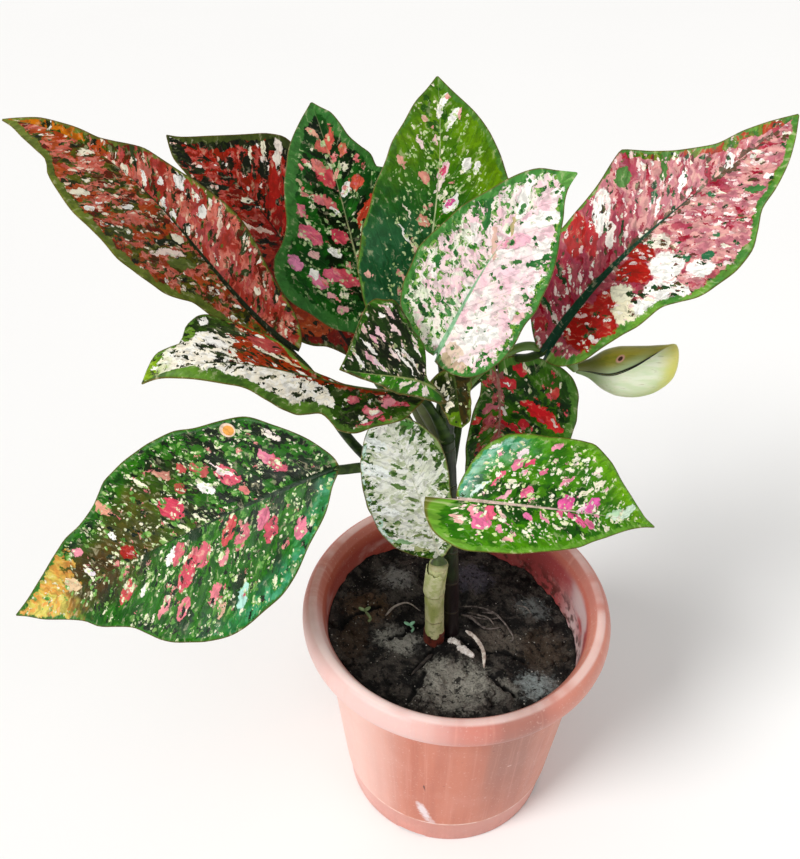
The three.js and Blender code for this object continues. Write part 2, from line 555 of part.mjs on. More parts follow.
// A sleeve round a stem or stalk, with the part inside the opening's box left out
function sleeve(route, coreRadius, thickness, core, opening) {
  const whole = tube(route, coreRadius + GAP + thickness, STEM_SIDES).subtract(core);
  const box = new THREE.BoxGeometry(...opening.size).translate(...opening.middle);
  return largestPiece(whole.subtract(solidOf(box)));
}

const group = new THREE.Group();

function add(name, solid, colour, roughness = ROUGHNESS.stem) {
  const material = new THREE.MeshStandardMaterial({ color: colour, roughness, metalness: 0 });
  const mesh = new THREE.Mesh(geometryOf(solid), material);
  mesh.name = name;
  group.add(mesh);
}

const mainStem = tube(STEM_ROUTE, STEM_RADIUS, STEM_SIDES);
const shootStem = tube(SHOOT_ROUTE, SHOOT_RADIUS, STEM_SIDES);
const stemRoom = tube(STEM_ROUTE, STEM_RADIUS + GAP, STEM_SIDES);
const shootRoom = tube(SHOOT_ROUTE, SHOOT_RADIUS + GAP, STEM_SIDES);

add('pot', pot(), COLOURS.pot, ROUGHNESS.pot);
add('soil', soil().subtract(stemRoom).subtract(shootRoom), COLOURS.soil, ROUGHNESS.soil);
add('main_stem', mainStem, COLOURS.mainStem);
add('shoot_stem', shootStem.subtract(stemRoom), COLOURS.shootStem);

let stalkRoom = stemRoom;
for (const [name, leaf] of Object.entries(LEAVES)) {
  const whole = blade(leaf).add(stalk(leaf));
  add(name, largestPiece(whole.subtract(stalkRoom)), leaf.colour, ROUGHNESS.leaf);
  stalkRoom = stalkRoom.add(stalk(leaf, GAP));
}

const soilRoom = soil(GAP);
for (const [name, { radius, route, colour }] of Object.entries(LITTER)) {
  const points = route.map(([x, y, height]) => [x, y, soilHeight(x, y) + height]);
  const piece = largestPiece(tube(points, radius, LITTER_SIDES).subtract(soilRoom));
  add(name, piece, colour, ROUGHNESS.litter);
}
const scaleCore = shootRoom.add(stemRoom).add(soilRoom);
const scale = sleeve(SCALE_ROUTE, SHOOT_RADIUS, SCALE_THICKNESS, scaleCore, SCALE_OPENING);
add('shoot_scale', scale, COLOURS.scale);
const sheathCore = shootRoom.add(stalkRoom);
const shootSheath = sleeve(SHEATH_ROUTE, SHOOT_RADIUS, SHEATH_THICKNESS, sheathCore, SHOOT_OPENING);
add('shoot_sheath', shootSheath, COLOURS.shootSheath);
const { stalkRadius } = LEAVES.leaf_back_left;
const stalkSheath = sleeve(STALK_SLEEVE_ROUTE, stalkRadius, SHEATH_THICKNESS, stalkRoom, STALK_OPENING);
add('stalk_sheath', stalkSheath, COLOURS.stalkSheath);

const budWithStalk = bud().add(tube(BUD_STALK, BUD_STALK_RADIUS));
add('flower_bud', largestPiece(budWithStalk.subtract(stalkRoom)), COLOURS.bud, ROUGHNESS.bud);

export default group;
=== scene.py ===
"""A potted chinese evergreen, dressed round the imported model: leaves, stems, bud, soil and plastic pot.

Lengths are in millimetres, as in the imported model's source, and MM turns them into the frame's metres.
Along a leaf, t is a share of the blade's length and s a share of its half width.
"""

import math
import random

import bmesh
import bpy
from mathutils import Matrix, Vector, noise


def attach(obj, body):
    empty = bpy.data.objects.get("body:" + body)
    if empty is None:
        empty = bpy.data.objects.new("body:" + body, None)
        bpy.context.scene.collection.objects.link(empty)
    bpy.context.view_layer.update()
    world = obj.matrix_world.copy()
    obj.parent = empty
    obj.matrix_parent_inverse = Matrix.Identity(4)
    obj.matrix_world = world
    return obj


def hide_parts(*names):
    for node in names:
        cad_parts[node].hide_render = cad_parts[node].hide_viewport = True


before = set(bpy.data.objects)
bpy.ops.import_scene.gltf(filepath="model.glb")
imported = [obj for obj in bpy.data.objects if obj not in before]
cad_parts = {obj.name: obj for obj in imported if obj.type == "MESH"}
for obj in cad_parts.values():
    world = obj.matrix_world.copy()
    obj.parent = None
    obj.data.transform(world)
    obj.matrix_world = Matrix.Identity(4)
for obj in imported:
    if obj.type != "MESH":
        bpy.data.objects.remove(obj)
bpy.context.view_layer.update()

MM = 0.001
MERGE_DISTANCE = 0.01 * MM

# ---------------------------------------------------------------- camera and light

CAMERA_PLACE = Vector((-0.031, -0.348, 0.533))
CAMERA_DOWN = 39.1
CAMERA_ROLL = 1.06
CAMERA_LENS = 42
CAMERA_SENSOR = 36
CAMERA_NEAREST = 0.01
AMBIENT_STRENGTH = 0.5
KEY_STRENGTH = 2.6
KEY_SPREAD = 24
KEY_PLACE = (-1.15, -0.85, 1.5)
FILL_STRENGTH = 2.5
FILL_SIZE = 0.8
FILL_PLACE = (0.9, -0.6, 0.9)
LIGHTS_AIM = (0, 0, 0.2)
STAGE_HALF_SIZE = 6
STAGE_MOTTLING = 400

# ---------------------------------------------------------------- pot

POT_HEIGHT = 138
RIM_RADIUS = 80
RIM_HEIGHT = 13.5
BODY_TOP_RADIUS = 69.7
BASE_RADIUS = 57.2
WALL = 2
FLOOR = 3
FLOOR_CORNER = 2
WALL_SLOPE = (BODY_TOP_RADIUS - BASE_RADIUS) / (POT_HEIGHT - RIM_HEIGHT)
FOOT_STEP_HEIGHT = 20
FOOT_STEP = 0.7
# The rim and the foot: distance inward from the radius there, and height above it
RIM_UNDERSIDE = [(10.1, 5), (7.5, 8.1), (4.6, 9.6), (2.4, 6.5), (2.4, 0.3)]
RIM_OUTSIDE = [(1.8, 0), (1.0, 0.4), (0.45, 1.6), (0.1, 3.2), (0, 5), (0.15, 7.2), (0.7, 9.4), (1.6, 11.2),
               (2.8, 12.4), (4.2, 13.2), (5.6, 13.5), (6.6, 13.35)]
RIM_SHOULDER = [(7.6, 12.9), (8.6, 11.9), (9.4, 10.4), (10.4, 8.6), (11.4, 6.8), (12.1, 2)]
FOOT_ROUNDING = [(1.2, 0), (0.4, 0.3), (0, 1.1)]
FOOT_STEP_EDGE = [(FOOT_STEP, -0.3), (0.45, 0), (0, 0.35)]
BEAD_BELOW_RIM = 1.6
BEAD_HEIGHT = 1.2
BEAD = 0.45
POT_SIDES = 144
POT_CREASE = 38
DRAIN_COUNT = 4
DRAIN_FIRST_ANGLE = 249
DRAIN_WIDTH = 16
DRAIN_DEPTH = 2
DRAIN_INNER_RADIUS = 28
# Where the pot's outline has points between its ends: radii of the underside, heights outside and inside
UNDERSIDE_RINGS = (0, 20, DRAIN_INNER_RADIUS, 44)
OUTER_RINGS = (30, 50, 75, 95)
INNER_RINGS = (110, 90, 60, 30)
DRAIN_HOLE_RADIUS = 4.5
DRAIN_HOLE_FROM_CENTRE = 36
DRAIN_HOLE_SIDES = 24
DRAIN_ROUNDING = 1.2

# ---------------------------------------------------------------- soil

SOIL_MIDDLE_HEIGHT = 110
SOIL_SLOPE = 0.13
SOIL_LUMP_HEIGHT = 1.6
SOIL_LUMP_LENGTH = (9, 11)
SOIL_LUMP_START = (1.3, 0.4)
SOIL_CROSS_LUMP = 0.6
SOIL_CROSS_LUMP_LENGTH = (5, 7)
SOIL_EDGE_GAP = 0.15
SOIL_EDGE_RADIUS = 66
SOIL_UNDERSIDE_GAP = 0.3
SOIL_STEPS = 150
SOIL_TOP_RINGS = 62
SOIL_RISE = 1.4
SOIL_RISE_FROM = 0.9
SOIL_RISE_SPAN = 0.1
# Size and height of the soil's clods, ridges, crumble and grain
CLODS = (10, 1.8)
RIDGES = (6, 2.6)
CRUMBLE = (2.4, 0.9)
GRAIN = (1.1, 0.35)
SOIL_SINK = 0.6
CRACK_DEPTH = 3.4
CRACK_HALF_WIDTH = 1.5
CRACK_WIDENING = 0.6
CRACK_WIDENING_LENGTH = 6
CRACK_WANDER = 1.6
CRACK_WANDER_LENGTH = 5
CRUMBS = 240
CRUMB_SIZES = (0.5, 0.7, 0.9, 1.3, 2.1)
CRUMBS_REACH = 64
CRUMBS_CROWDING = 0.45
CRUMB_FLATNESS = 0.75
CRUMB_UNEVENNESS = 0.45
CRUMB_LIFT = 0.15
CRUMB_LUMP = 0.7
CRUMB_SEED = 11
# The soil's top is spun flat up here, so that its points can be told from the others
SPUN_TOP_RADIUS = 200
SPUN_TOP_HEIGHT = 500
FIBRE_UNEVENNESS = (0.86, 1.12)
CHIP_UNEVENNESS = (0.74, 1.2)
FIBRE_FLATNESS = 0.85
STRIP_FLATNESS = 0.45
FIBRE_SIDES = 10
CHIP_SIDES = 5
# In radians, then in radii of the seedling's stem
SEED_LEAF_TURNS = (0.4, 2.9)
SEED_LEAF_TILT = -0.35
SEED_LEAF_OUT = 1.6
SEED_LEAF_SIZE = (2.1, 1.2, 0.35)

# ---------------------------------------------------------------- stems

STEM_RADIUS = 4
STEM_ROUTE = [(-1, 0, 90), (-3, 0, 140), (-6, 0, 190), (-9, 0, 235), (-12, 0, 262)]
SHOOT_RADIUS = 5.2
SHOOT_ROUTE = [(-11, -4, 92), (-11, -5, 120), (-12, -7, 150), (-11, -11, 175)]
SHOOT_SCALE_ROUTE = [(-11, -4, 106), (-11, -4.3, 113), (-11, -4.5, 121)]
SHOOT_SHEATH_ROUTE = [(-12, -7, 152), (-11.5, -9, 164), (-11, -11, 174)]
STALK_SHEATH_ROUTE = [(-45, 33, 256.9), (-38, 22, 254), (-31, 16, 249.5)]
STALK_SHEATH_RADIUS = 2.2
STEM_STEPS = 26
STEM_SIDES = 24
STEM_KNOT_SWELL = 0.07
STEM_UNEVENNESS = 0.04
STEM_LARGEST_SWELL = 1.08
STEM_TAPER = (0.98, 0.06)
STEM_RING_SPACING = 22
SLEEVE_THICKNESS = 0.35
SLEEVE_GAP = 0.35
SLEEVE_LEAST_GAP = 0.3
SLEEVE_CURL = 0.5
SLEEVE_LENGTH = 0.9
# Depth and number of the tears in a sleeve's edge
SLEEVE_TEARS = (0.16, 4)
SLEEVE_FINE_TEARS = (0.08, 11)
SLEEVE_STEPS = 12
SLEEVE_COLUMNS = 20

# ---------------------------------------------------------------- leaves

BASE_HALF_WIDTH = 0.8
TIP_HALF_WIDTH = 0.4
LOBE_REACH = 0.22
CURL_CENTRE = 0.6
LOBE_SHARPNESS = 1.5
WAVE_OFFSET_RIGHT = 0.37
WAVE_RISE = 4
WAVE_FALL = 3
EDGE_UNEVENNESS = 0.035
EDGE_UNEVENNESS_WAVES = 9
EDGE_RUFFLE = 0.7
EDGE_RUFFLE_WAVES = 14
BASE_CROWDING = 1.35
BLADE_THICKNESS = 0.7
EDGE_THINNING = 0.55
BLADE_STEPS_ALONG = 96
BLADE_STEPS_ACROSS = 36
RIDGE_STEPS = 12
RIDGE_SHARE = 0.86
RIDGE_TAPER = (0.82, 0.7)
RIB_GROOVE_DEPTH = 0.5
RIB_GROOVE_HALF_WIDTH = 1.3
VEIN_SPACING = 9
VEIN_STAGGER = 0.23
VEIN_DEPTH = 0.22
QUILTING = 0.3
RELIEF_FROM_EDGE = 4
RELIEF_FROM_RIB = 3
STALK_SIDES = 12
STALK_STEPS = 8
STALK_TAPER = 0.18
SHEATH_SWELL = 0.5
SHEATH_FADE = 2.2
LEAF_SEED_STEP = 3.7
# What the flat and share attributes hold on a stalk
STALK_T = -0.1
STALK_HALF_WIDTH = 20

# left and right: the half widths at shares of the blade's length
LEAVES = {
    "leaf_far_left": dict(
        rib=[(-77, -5, 297), (-112, -2, 325), (-124, 1, 387), (-178, 5, 388)],
        looks=[(0.55, -0.3, 0.78), (0.35, -0.35, 0.87)],
        left=[(0.05, 8), (0.1, 12), (0.15, 15), (0.27, 20), (0.32, 23), (0.36, 28), (0.43, 36), (0.5, 41),
              (0.55, 42), (0.62, 39), (0.7, 36.5), (0.78, 30), (0.82, 25), (0.845, 18.5), (0.88, 15.5),
              (0.93, 10), (0.97, 4)],
        right=[(0.05, 12), (0.1, 16), (0.2, 20), (0.3, 22), (0.4, 22.5), (0.5, 20), (0.6, 17), (0.66, 14),
               (0.7, 10.5), (0.74, 6.8), (0.78, 4.4), (0.85, 3.9), (0.91, 3.6), (0.96, 2)],
        fold=(12, 12), curl=(6, 6), lobe=(4, 4), wave=(2, 2.2, 0.1), stalk_radius=2.4,
        lean=(0.6, 0.4),
        stalk=[(-68, -8, 284), (-61, -12, 269), (-47, -8, 242), (-21, -2, 212), (-6, 0, 196)]),
    "leaf_back_left": dict(
        rib=[(-56, 50, 261), (-79, 57, 294), (-94, 65, 341), (-136, 74, 354)],
        looks=[(0.45, -0.5, 0.75), (0.4, -0.5, 0.8)],
        left=[(0.05, 7), (0.1, 12), (0.14, 19), (0.2, 25), (0.3, 28), (0.42, 28.5), (0.55, 26), (0.63, 24),
              (0.71, 21.5), (0.79, 18.5), (0.87, 15), (0.93, 11.5), (0.97, 6)],
        right=[(0.05, 10), (0.1, 15), (0.2, 21), (0.4, 28), (0.55, 33), (0.65, 34), (0.7, 32.5), (0.75, 27),
               (0.79, 21), (0.87, 10.5), (0.93, 4.5), (0.97, 1.6)],
        fold=(8, 8), curl=(6, 6), lobe=(6, 6), wave=(2, 2, 0.3), stalk_radius=2.2, sheath=0.9,
        lean=(0.5, 0.8),
        stalk=[(-48, 38, 258), (-38, 22, 254), (-28, 13, 246), (-17, 4, 226), (-7, 0, 204)]),
    "leaf_tall_left": dict(
        rib=[(-43, 32, 282), (-52, 39, 313), (-58, 47, 346), (-70, 56, 377)],
        looks=[(0.1, -0.85, 0.5), (0.2, -0.85, 0.5)],
        left=[(0.04, 6), (0.08, 11), (0.12, 18), (0.2, 27), (0.25, 32.5), (0.3, 35.5), (0.38, 37.5),
              (0.45, 36), (0.5, 31.5), (0.55, 28), (0.6, 26.3), (0.65, 25.5), (0.7, 24), (0.75, 22),
              (0.8, 19.5), (0.85, 17), (0.9, 13), (0.95, 7.5)],
        right=[(0.05, 10), (0.1, 14), (0.2, 18), (0.4, 24), (0.55, 26), (0.64, 25), (0.675, 22.5),
               (0.69, 18.8), (0.74, 17.5), (0.79, 13.5), (0.84, 10), (0.9, 8), (0.94, 6.3), (0.97, 3.2)],
        fold=(10, 10), curl=(6, 6), lobe=(6, 2), wave=(2, 2, 0), stalk_radius=2.2, sheath=0.9,
        lean=(0.8, 1.0),
        stalk=[(-36, 22, 274), (-26, 10, 258), (-15, 3, 238), (-8, 0, 218)]),
    "leaf_tall_back": dict(
        rib=[(-27, 12, 290), (-20, 19, 325), (-14, 29, 360), (-19, 44, 393)],
        looks=[(0.2, -0.8, 0.5), (0.1, -0.85, 0.5)],
        left=[(0.05, 13), (0.12, 21), (0.2, 26.5), (0.3, 30), (0.4, 31), (0.5, 29.3), (0.6, 26.7),
              (0.67, 24.5), (0.72, 22.5), (0.78, 20), (0.85, 15), (0.92, 10), (0.96, 5)],
        right=[(0.05, 11), (0.12, 19), (0.2, 24), (0.4, 30), (0.6, 30.5), (0.65, 28.7), (0.7, 26),
               (0.75, 23.2), (0.8, 20.3), (0.84, 17), (0.88, 13), (0.92, 8.5), (0.96, 4.2)],
        fold=(10, 10), curl=(6, 6), lobe=(4, 4), wave=(1, 2, 0), stalk_radius=2.4, sheath=0.9,
        lean=(1.0, 1.2),
        stalk=[(-27, 8, 277), (-22, 4, 262), (-11, 0, 246)]),
    "leaf_pale_centre": dict(
        rib=[(-16, -5, 296), (-4, -9, 327), (4, -13, 360), (29, -20, 383)],
        looks=[(-0.35, -0.8, 0.5), (-0.2, -0.8, 0.5)],
        left=[(0.03, 11), (0.05, 14), (0.1, 20), (0.15, 23.5), (0.25, 26), (0.35, 26.5), (0.45, 25),
              (0.55, 22), (0.65, 18.8), (0.75, 15.5), (0.85, 12), (0.9, 9.3), (0.95, 4.5)],
        right=[(0.03, 12), (0.08, 19), (0.15, 24), (0.3, 27.3), (0.45, 27), (0.55, 26), (0.65, 24),
               (0.75, 20), (0.82, 15.5), (0.88, 10.5), (0.915, 6.2), (0.95, 3)],
        fold=(8, 8), curl=(6, 6), lobe=(3, 5), wave=(1, 2, 0), stalk_radius=2.6,
        lean=(0.9, 1.6),
        stalk=[(-13, -3, 285), (-12, -1, 272), (-12, 0, 258)]),
    "leaf_far_right": dict(
        rib=[(31, 5, 292), (49, 8, 334), (81, 11, 361), (114, 14, 392)],
        looks=[(-0.35, -0.5, 0.8), (-0.3, -0.5, 0.8)],
        left=[(0.05, 12), (0.1, 18), (0.2, 25), (0.3, 29), (0.4, 30), (0.46, 30.3), (0.54, 32), (0.575, 32.6),
              (0.6, 29.8), (0.64, 24.5), (0.69, 19), (0.75, 14), (0.8, 10.6), (0.86, 9), (0.92, 6),
              (0.97, 2.6)],
        right=[(0.05, 14), (0.1, 19), (0.17, 22), (0.23, 24.5), (0.3, 28.5), (0.38, 31), (0.44, 35),
               (0.5, 38.5), (0.54, 39.3), (0.61, 38.5), (0.69, 35), (0.74, 29.3), (0.785, 23.3), (0.84, 20.5),
               (0.9, 15.5), (0.95, 9)],
        fold=(6, 6), curl=(6, 6), lobe=(3, 5), wave=(2, 2, 0), stalk_radius=2.2, sheath=0.9,
        lean=(0.3, 1.3),
        stalk=[(25, 14, 281), (16, 22, 274), (5, 19, 267), (-5, 12, 261), (-11, 2, 250)]),
    "leaf_low_left": dict(
        rib=[(-59, -30, 252), (-110, -34, 229), (-157, -38, 196), (-207, -44, 171)],
        looks=[(0.05, -0.6, 0.8), (0, -0.65, 0.75)],
        left=[(0.02, 6), (0.06, 17), (0.12, 27), (0.18, 37.5), (0.24, 44), (0.3, 47.5), (0.36, 49),
              (0.42, 49.3), (0.47, 48.5), (0.53, 45), (0.59, 39.5), (0.62, 35), (0.66, 28.7), (0.71, 24.5),
              (0.765, 21), (0.8, 16.5), (0.86, 11.5), (0.92, 7.3), (0.97, 2.6)],
        right=[(0.02, 9), (0.06, 18), (0.12, 28), (0.18, 36.3), (0.24, 39), (0.3, 41), (0.36, 43.3),
               (0.42, 43.5), (0.47, 42), (0.53, 40), (0.59, 37.3), (0.62, 34), (0.66, 29.7), (0.71, 26),
               (0.765, 22.8), (0.8, 19.5), (0.89, 10.5), (0.95, 4.5)],
        fold=(6, 6), curl=(6, 6), lobe=(2, 3), wave=(1.5, 2, 0), stalk_radius=2.6,
        lean=(0.7, 0.5),
        stalk=[(-54, -24, 247), (-47, -18, 243), (-37, -12, 238), (-23, -6, 228), (-8, 0, 213)]),
    "leaf_drooping_left": dict(
        rib=[(-26, -15, 283), (-63, -34, 294), (-89, -58, 341), (-125, -56, 315)],
        looks=[(0.1, -0.45, 0.88), (0.1, -0.45, 0.88)],
        left=[(0.05, 8), (0.1, 13), (0.2, 17.5), (0.27, 20.5), (0.315, 20), (0.335, 16.6), (0.36, 14.2),
              (0.41, 15.8), (0.46, 16.8), (0.52, 16.4), (0.57, 14.5), (0.63, 11.5), (0.72, 8.5), (0.81, 5.6),
              (0.88, 3.4), (0.95, 1.2)],
        right=[(0.05, 1.4), (0.2, 1.4), (0.3, 2.1), (0.38, 2.6), (0.425, 6), (0.45, 12), (0.48, 16.5),
               (0.54, 20.5), (0.6, 24), (0.66, 26.8), (0.72, 28), (0.77, 27.4), (0.81, 24.5), (0.835, 21),
               (0.85, 15), (0.865, 12.4), (0.9, 12.2), (0.945, 12), (0.975, 8.5)],
        fold=(0, -20), curl=(0, 0), lobe=(6, 2), wave=(2, 2, 0), stalk_radius=2.2, sheath=0.9,
        lean=(1.5, 1.5),
        stalk=[(-21, -9, 274), (-14, -4, 258), (-10, 0, 246)]),
    "leaf_small_centre": dict(
        rib=[(-17, -20, 288), (-26, -27, 301), (-41, -35, 304), (-54, -42, 313)],
        looks=[(0.15, -0.55, 0.82), (0.15, -0.55, 0.82)],
        left=[(0.05, 4), (0.1, 5.2), (0.2, 6.4), (0.4, 6.4), (0.5, 5.6), (0.6, 4.8), (0.7, 3.4), (0.8, 2),
              (0.9, 1)],
        right=[(0.05, 1.4), (0.12, 2), (0.155, 4), (0.175, 12), (0.2, 16.5), (0.3, 21.5), (0.4, 27.5),
               (0.5, 31), (0.6, 31), (0.7, 28), (0.8, 21), (0.9, 11), (0.96, 4.5)],
        fold=(-35, 5), curl=(0, 6), lobe=(12, 2), wave=(1, 2, 0), stalk_radius=1.6,
        lean=(0.9, 0.5),
        stalk=[(-13, -11, 276), (-12, -5, 266), (-11, 0, 258)]),
    "leaf_young_shoot": dict(
        rib=[(-11, -11, 181), (-18, -14, 211), (-26, -18, 243), (-40, -13, 272)],
        looks=[(-0.05, -0.85, 0.5), (-0.05, -0.85, 0.5)],
        left=[(0.05, 8), (0.1, 12.5), (0.2, 18.5), (0.3, 22), (0.37, 23.3), (0.48, 23.5), (0.58, 22.8),
              (0.69, 21), (0.77, 19), (0.83, 16), (0.9, 11.5), (0.95, 6.8)],
        right=[(0.05, 5), (0.1, 8.5), (0.2, 11.5), (0.32, 13.3), (0.45, 14.6), (0.53, 16), (0.62, 17.6),
               (0.68, 18.3), (0.75, 17.8), (0.83, 15), (0.89, 11.5), (0.93, 8.2), (0.97, 3.6)],
        fold=(8, 8), curl=(6, 6), lobe=(1, 1), wave=(1, 2, 0), stalk_radius=2.8,
        lean=(0.6, 1.0),
        stalk=[(-11, -11, 175.9)]),
    "leaf_low_right": dict(
        rib=[(-4, -24, 231), (28, -34, 236), (63, -26, 226), (87, -16, 208)],
        looks=[(0.1, -0.6, 0.8), (0.1, -0.6, 0.8)],
        left=[(0.03, 12), (0.06, 18), (0.1, 24), (0.16, 28.5), (0.2, 30.6), (0.31, 31.8), (0.41, 32),
              (0.51, 32), (0.57, 30.8), (0.62, 28), (0.67, 24.5), (0.72, 20.3), (0.77, 15.5), (0.82, 11),
              (0.88, 6.5), (0.93, 3)],
        right=[(0.03, 12), (0.06, 17), (0.1, 20.5), (0.16, 22.8), (0.25, 22.3), (0.31, 21.5), (0.41, 19.5),
               (0.52, 16.8), (0.62, 12.5), (0.72, 8.5), (0.82, 4.5), (0.92, 1.8)],
        fold=(6, 6), curl=(6, 6), lobe=(2, 16), wave=(1, 2, 0), stalk_radius=2,
        lean=(0.8, 1.0),
        stalk=[(-2, -16, 222), (-3, -7, 208), (-6, 0, 196)]),
    "leaf_under_right": dict(
        rib=[(12, 14, 271), (17, 4, 244), (12, 4, 214), (12, 6, 186)],
        looks=[(0.15, -0.9, 0.4), (0.15, -0.9, 0.4)],
        left=[(0.03, 18), (0.06, 25), (0.1, 31), (0.14, 34.5), (0.21, 36.5), (0.3, 36.5), (0.4, 34.5),
              (0.6, 28), (0.78, 18), (0.92, 7)],
        right=[(0.03, 13), (0.06, 11.5), (0.1, 8), (0.15, 8.7), (0.2, 11), (0.27, 13.5), (0.34, 14.6),
               (0.4, 15.2), (0.6, 13.5), (0.78, 9), (0.92, 4)],
        fold=(0, 0), curl=(0, 0), lobe=(8, 8), wave=(1, 2, 0), stalk_radius=2,
        lean=(0.7, 0.5),
        stalk=[(4, 16, 272), (-3, 13, 260), (-5, 8, 244), (-8, 0, 226)]),
    "leaf_sheath": dict(
        rib=[(-9, -10, 288), (-8, -13, 283), (-7, -16, 278), (-5, -20, 268)],
        looks=[(0.1, -0.8, 0.6), (0.1, -0.9, 0.45)],
        left=[(0.1, 7.5), (0.3, 7.5), (0.5, 6), (0.75, 5.5), (0.93, 4.2)],
        right=[(0.1, 8), (0.25, 11.5), (0.4, 10.5), (0.6, 8), (0.8, 6), (0.93, 5)],
        fold=(-12, -20), curl=(0, 0), lobe=(2, 3), wave=(0.8, 2, 0), stalk_radius=1.4,
        lean=(0.9, 1.0),
        stalk=[(-9, -7, 281), (-10, -3, 272), (-11, 0, 262)]),
}

# ---------------------------------------------------------------- colours, as they look on a screen

WHITE = "f7f4ec"
CREAM = "f1e9cf"
STALK_GREEN = "24381a"
STALK_DARK = "3a5220"
WORN_EDGE = "6a4a22"
DEEP_SHADE = "12180a"
PALE_STREAK = "e6dcb4"
UNDERSIDE_TINT = "8fa56c"


# ================================================================ small helpers

def to_metres(point):
    return Vector(point) * MM


def rgb(code):
    """A screen colour code as the linear colour that a shader takes."""
    values = [int(code[i:i + 2], 16) / 255 for i in (0, 2, 4)]
    return tuple(v / 12.92 if v <= 0.04045 else ((v + 0.055) / 1.055) ** 2.4 for v in values) + (1.0,)


def bezier(points, t):
    a, b, c, d = (Vector(p) for p in points)
    m = 1 - t
    return a * m ** 3 + b * (3 * m * m * t) + c * (3 * m * t * t) + d * t ** 3


def bezier_ahead(points, t):
    a, b, c, d = (Vector(p) for p in points)
    m = 1 - t
    return ((b - a) * (m * m) + (c - b) * (2 * m * t) + (d - c) * (t * t)).normalized()


def smooth_route(points, steps):
    """Points along a smooth curve through the given ones."""
    knots = [Vector(p) for p in points]
    knots = [knots[0] * 2 - knots[1], *knots, knots[-1] * 2 - knots[-2]]
    out = []
    for i in range(1, len(knots) - 2):
        before, start, end, after = knots[i - 1:i + 3]
        for k in range(steps):
            f = k / steps
            bend = 2 * before - 5 * start + 4 * end - after
            twist = 3 * start - before - 3 * end + after
            out.append(0.5 * (2 * start + (end - before) * f + bend * f ** 2 + twist * f ** 3))
    out.append(knots[-2])
    return out


def object_from(name, bm, material, smooth=True):
    bmesh.ops.recalc_face_normals(bm, faces=bm.faces)
    mesh = bpy.data.meshes.new(name)
    bm.to_mesh(mesh)
    bm.free()
    mesh.materials.append(material)
    mesh.polygons.foreach_set("use_smooth", [smooth] * len(mesh.polygons))
    piece = bpy.data.objects.new(name, mesh)
    bpy.context.scene.collection.objects.link(piece)
    return piece


def dress(node, piece):
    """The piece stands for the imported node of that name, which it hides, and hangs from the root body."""
    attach(piece, "root")
    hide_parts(node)
    return piece


def sweep(bm, route, radius_at, sides=14, squash=1.0):
    """A closed tube through the route's points: radius_at gives the radius at a share of the route."""
    last = len(route) - 1
    ring = bmesh.ops.create_circle(bm, segments=sides, radius=1)["verts"]
    order = {v: i for i, v in enumerate(ring)}
    edges = list({e for v in ring for e in v.link_edges})
    across = Vector((0.3, 1, 0.2))
    made = []
    for i, centre in enumerate(route):
        if i:
            grown = bmesh.ops.extrude_edge_only(bm, edges=edges)["geom"]
            ring = [g for g in grown if isinstance(g, bmesh.types.BMVert)]
            new = set(ring)
            for v in ring:
                order[v] = next(order[o] for o in (e.other_vert(v) for e in v.link_edges) if o not in new)
            edges = list({e for v in ring for e in v.link_edges if e.other_vert(v) in new})
        ahead = (route[min(i + 1, last)] - route[max(i - 1, 0)]).normalized()
        across = (across - ahead * across.dot(ahead)).normalized()
        over = ahead.cross(across)
        radius = radius_at(i / last)
        for v in ring:
            angle = 2 * math.pi * order[v] / sides
            v.co = centre + (across * math.cos(angle) + over * (math.sin(angle) * squash)) * radius
        made.append(ring)
        if i in (0, last):
            bmesh.ops.contextual_create(bm, geom=edges)
    return made


# ================================================================ node builder

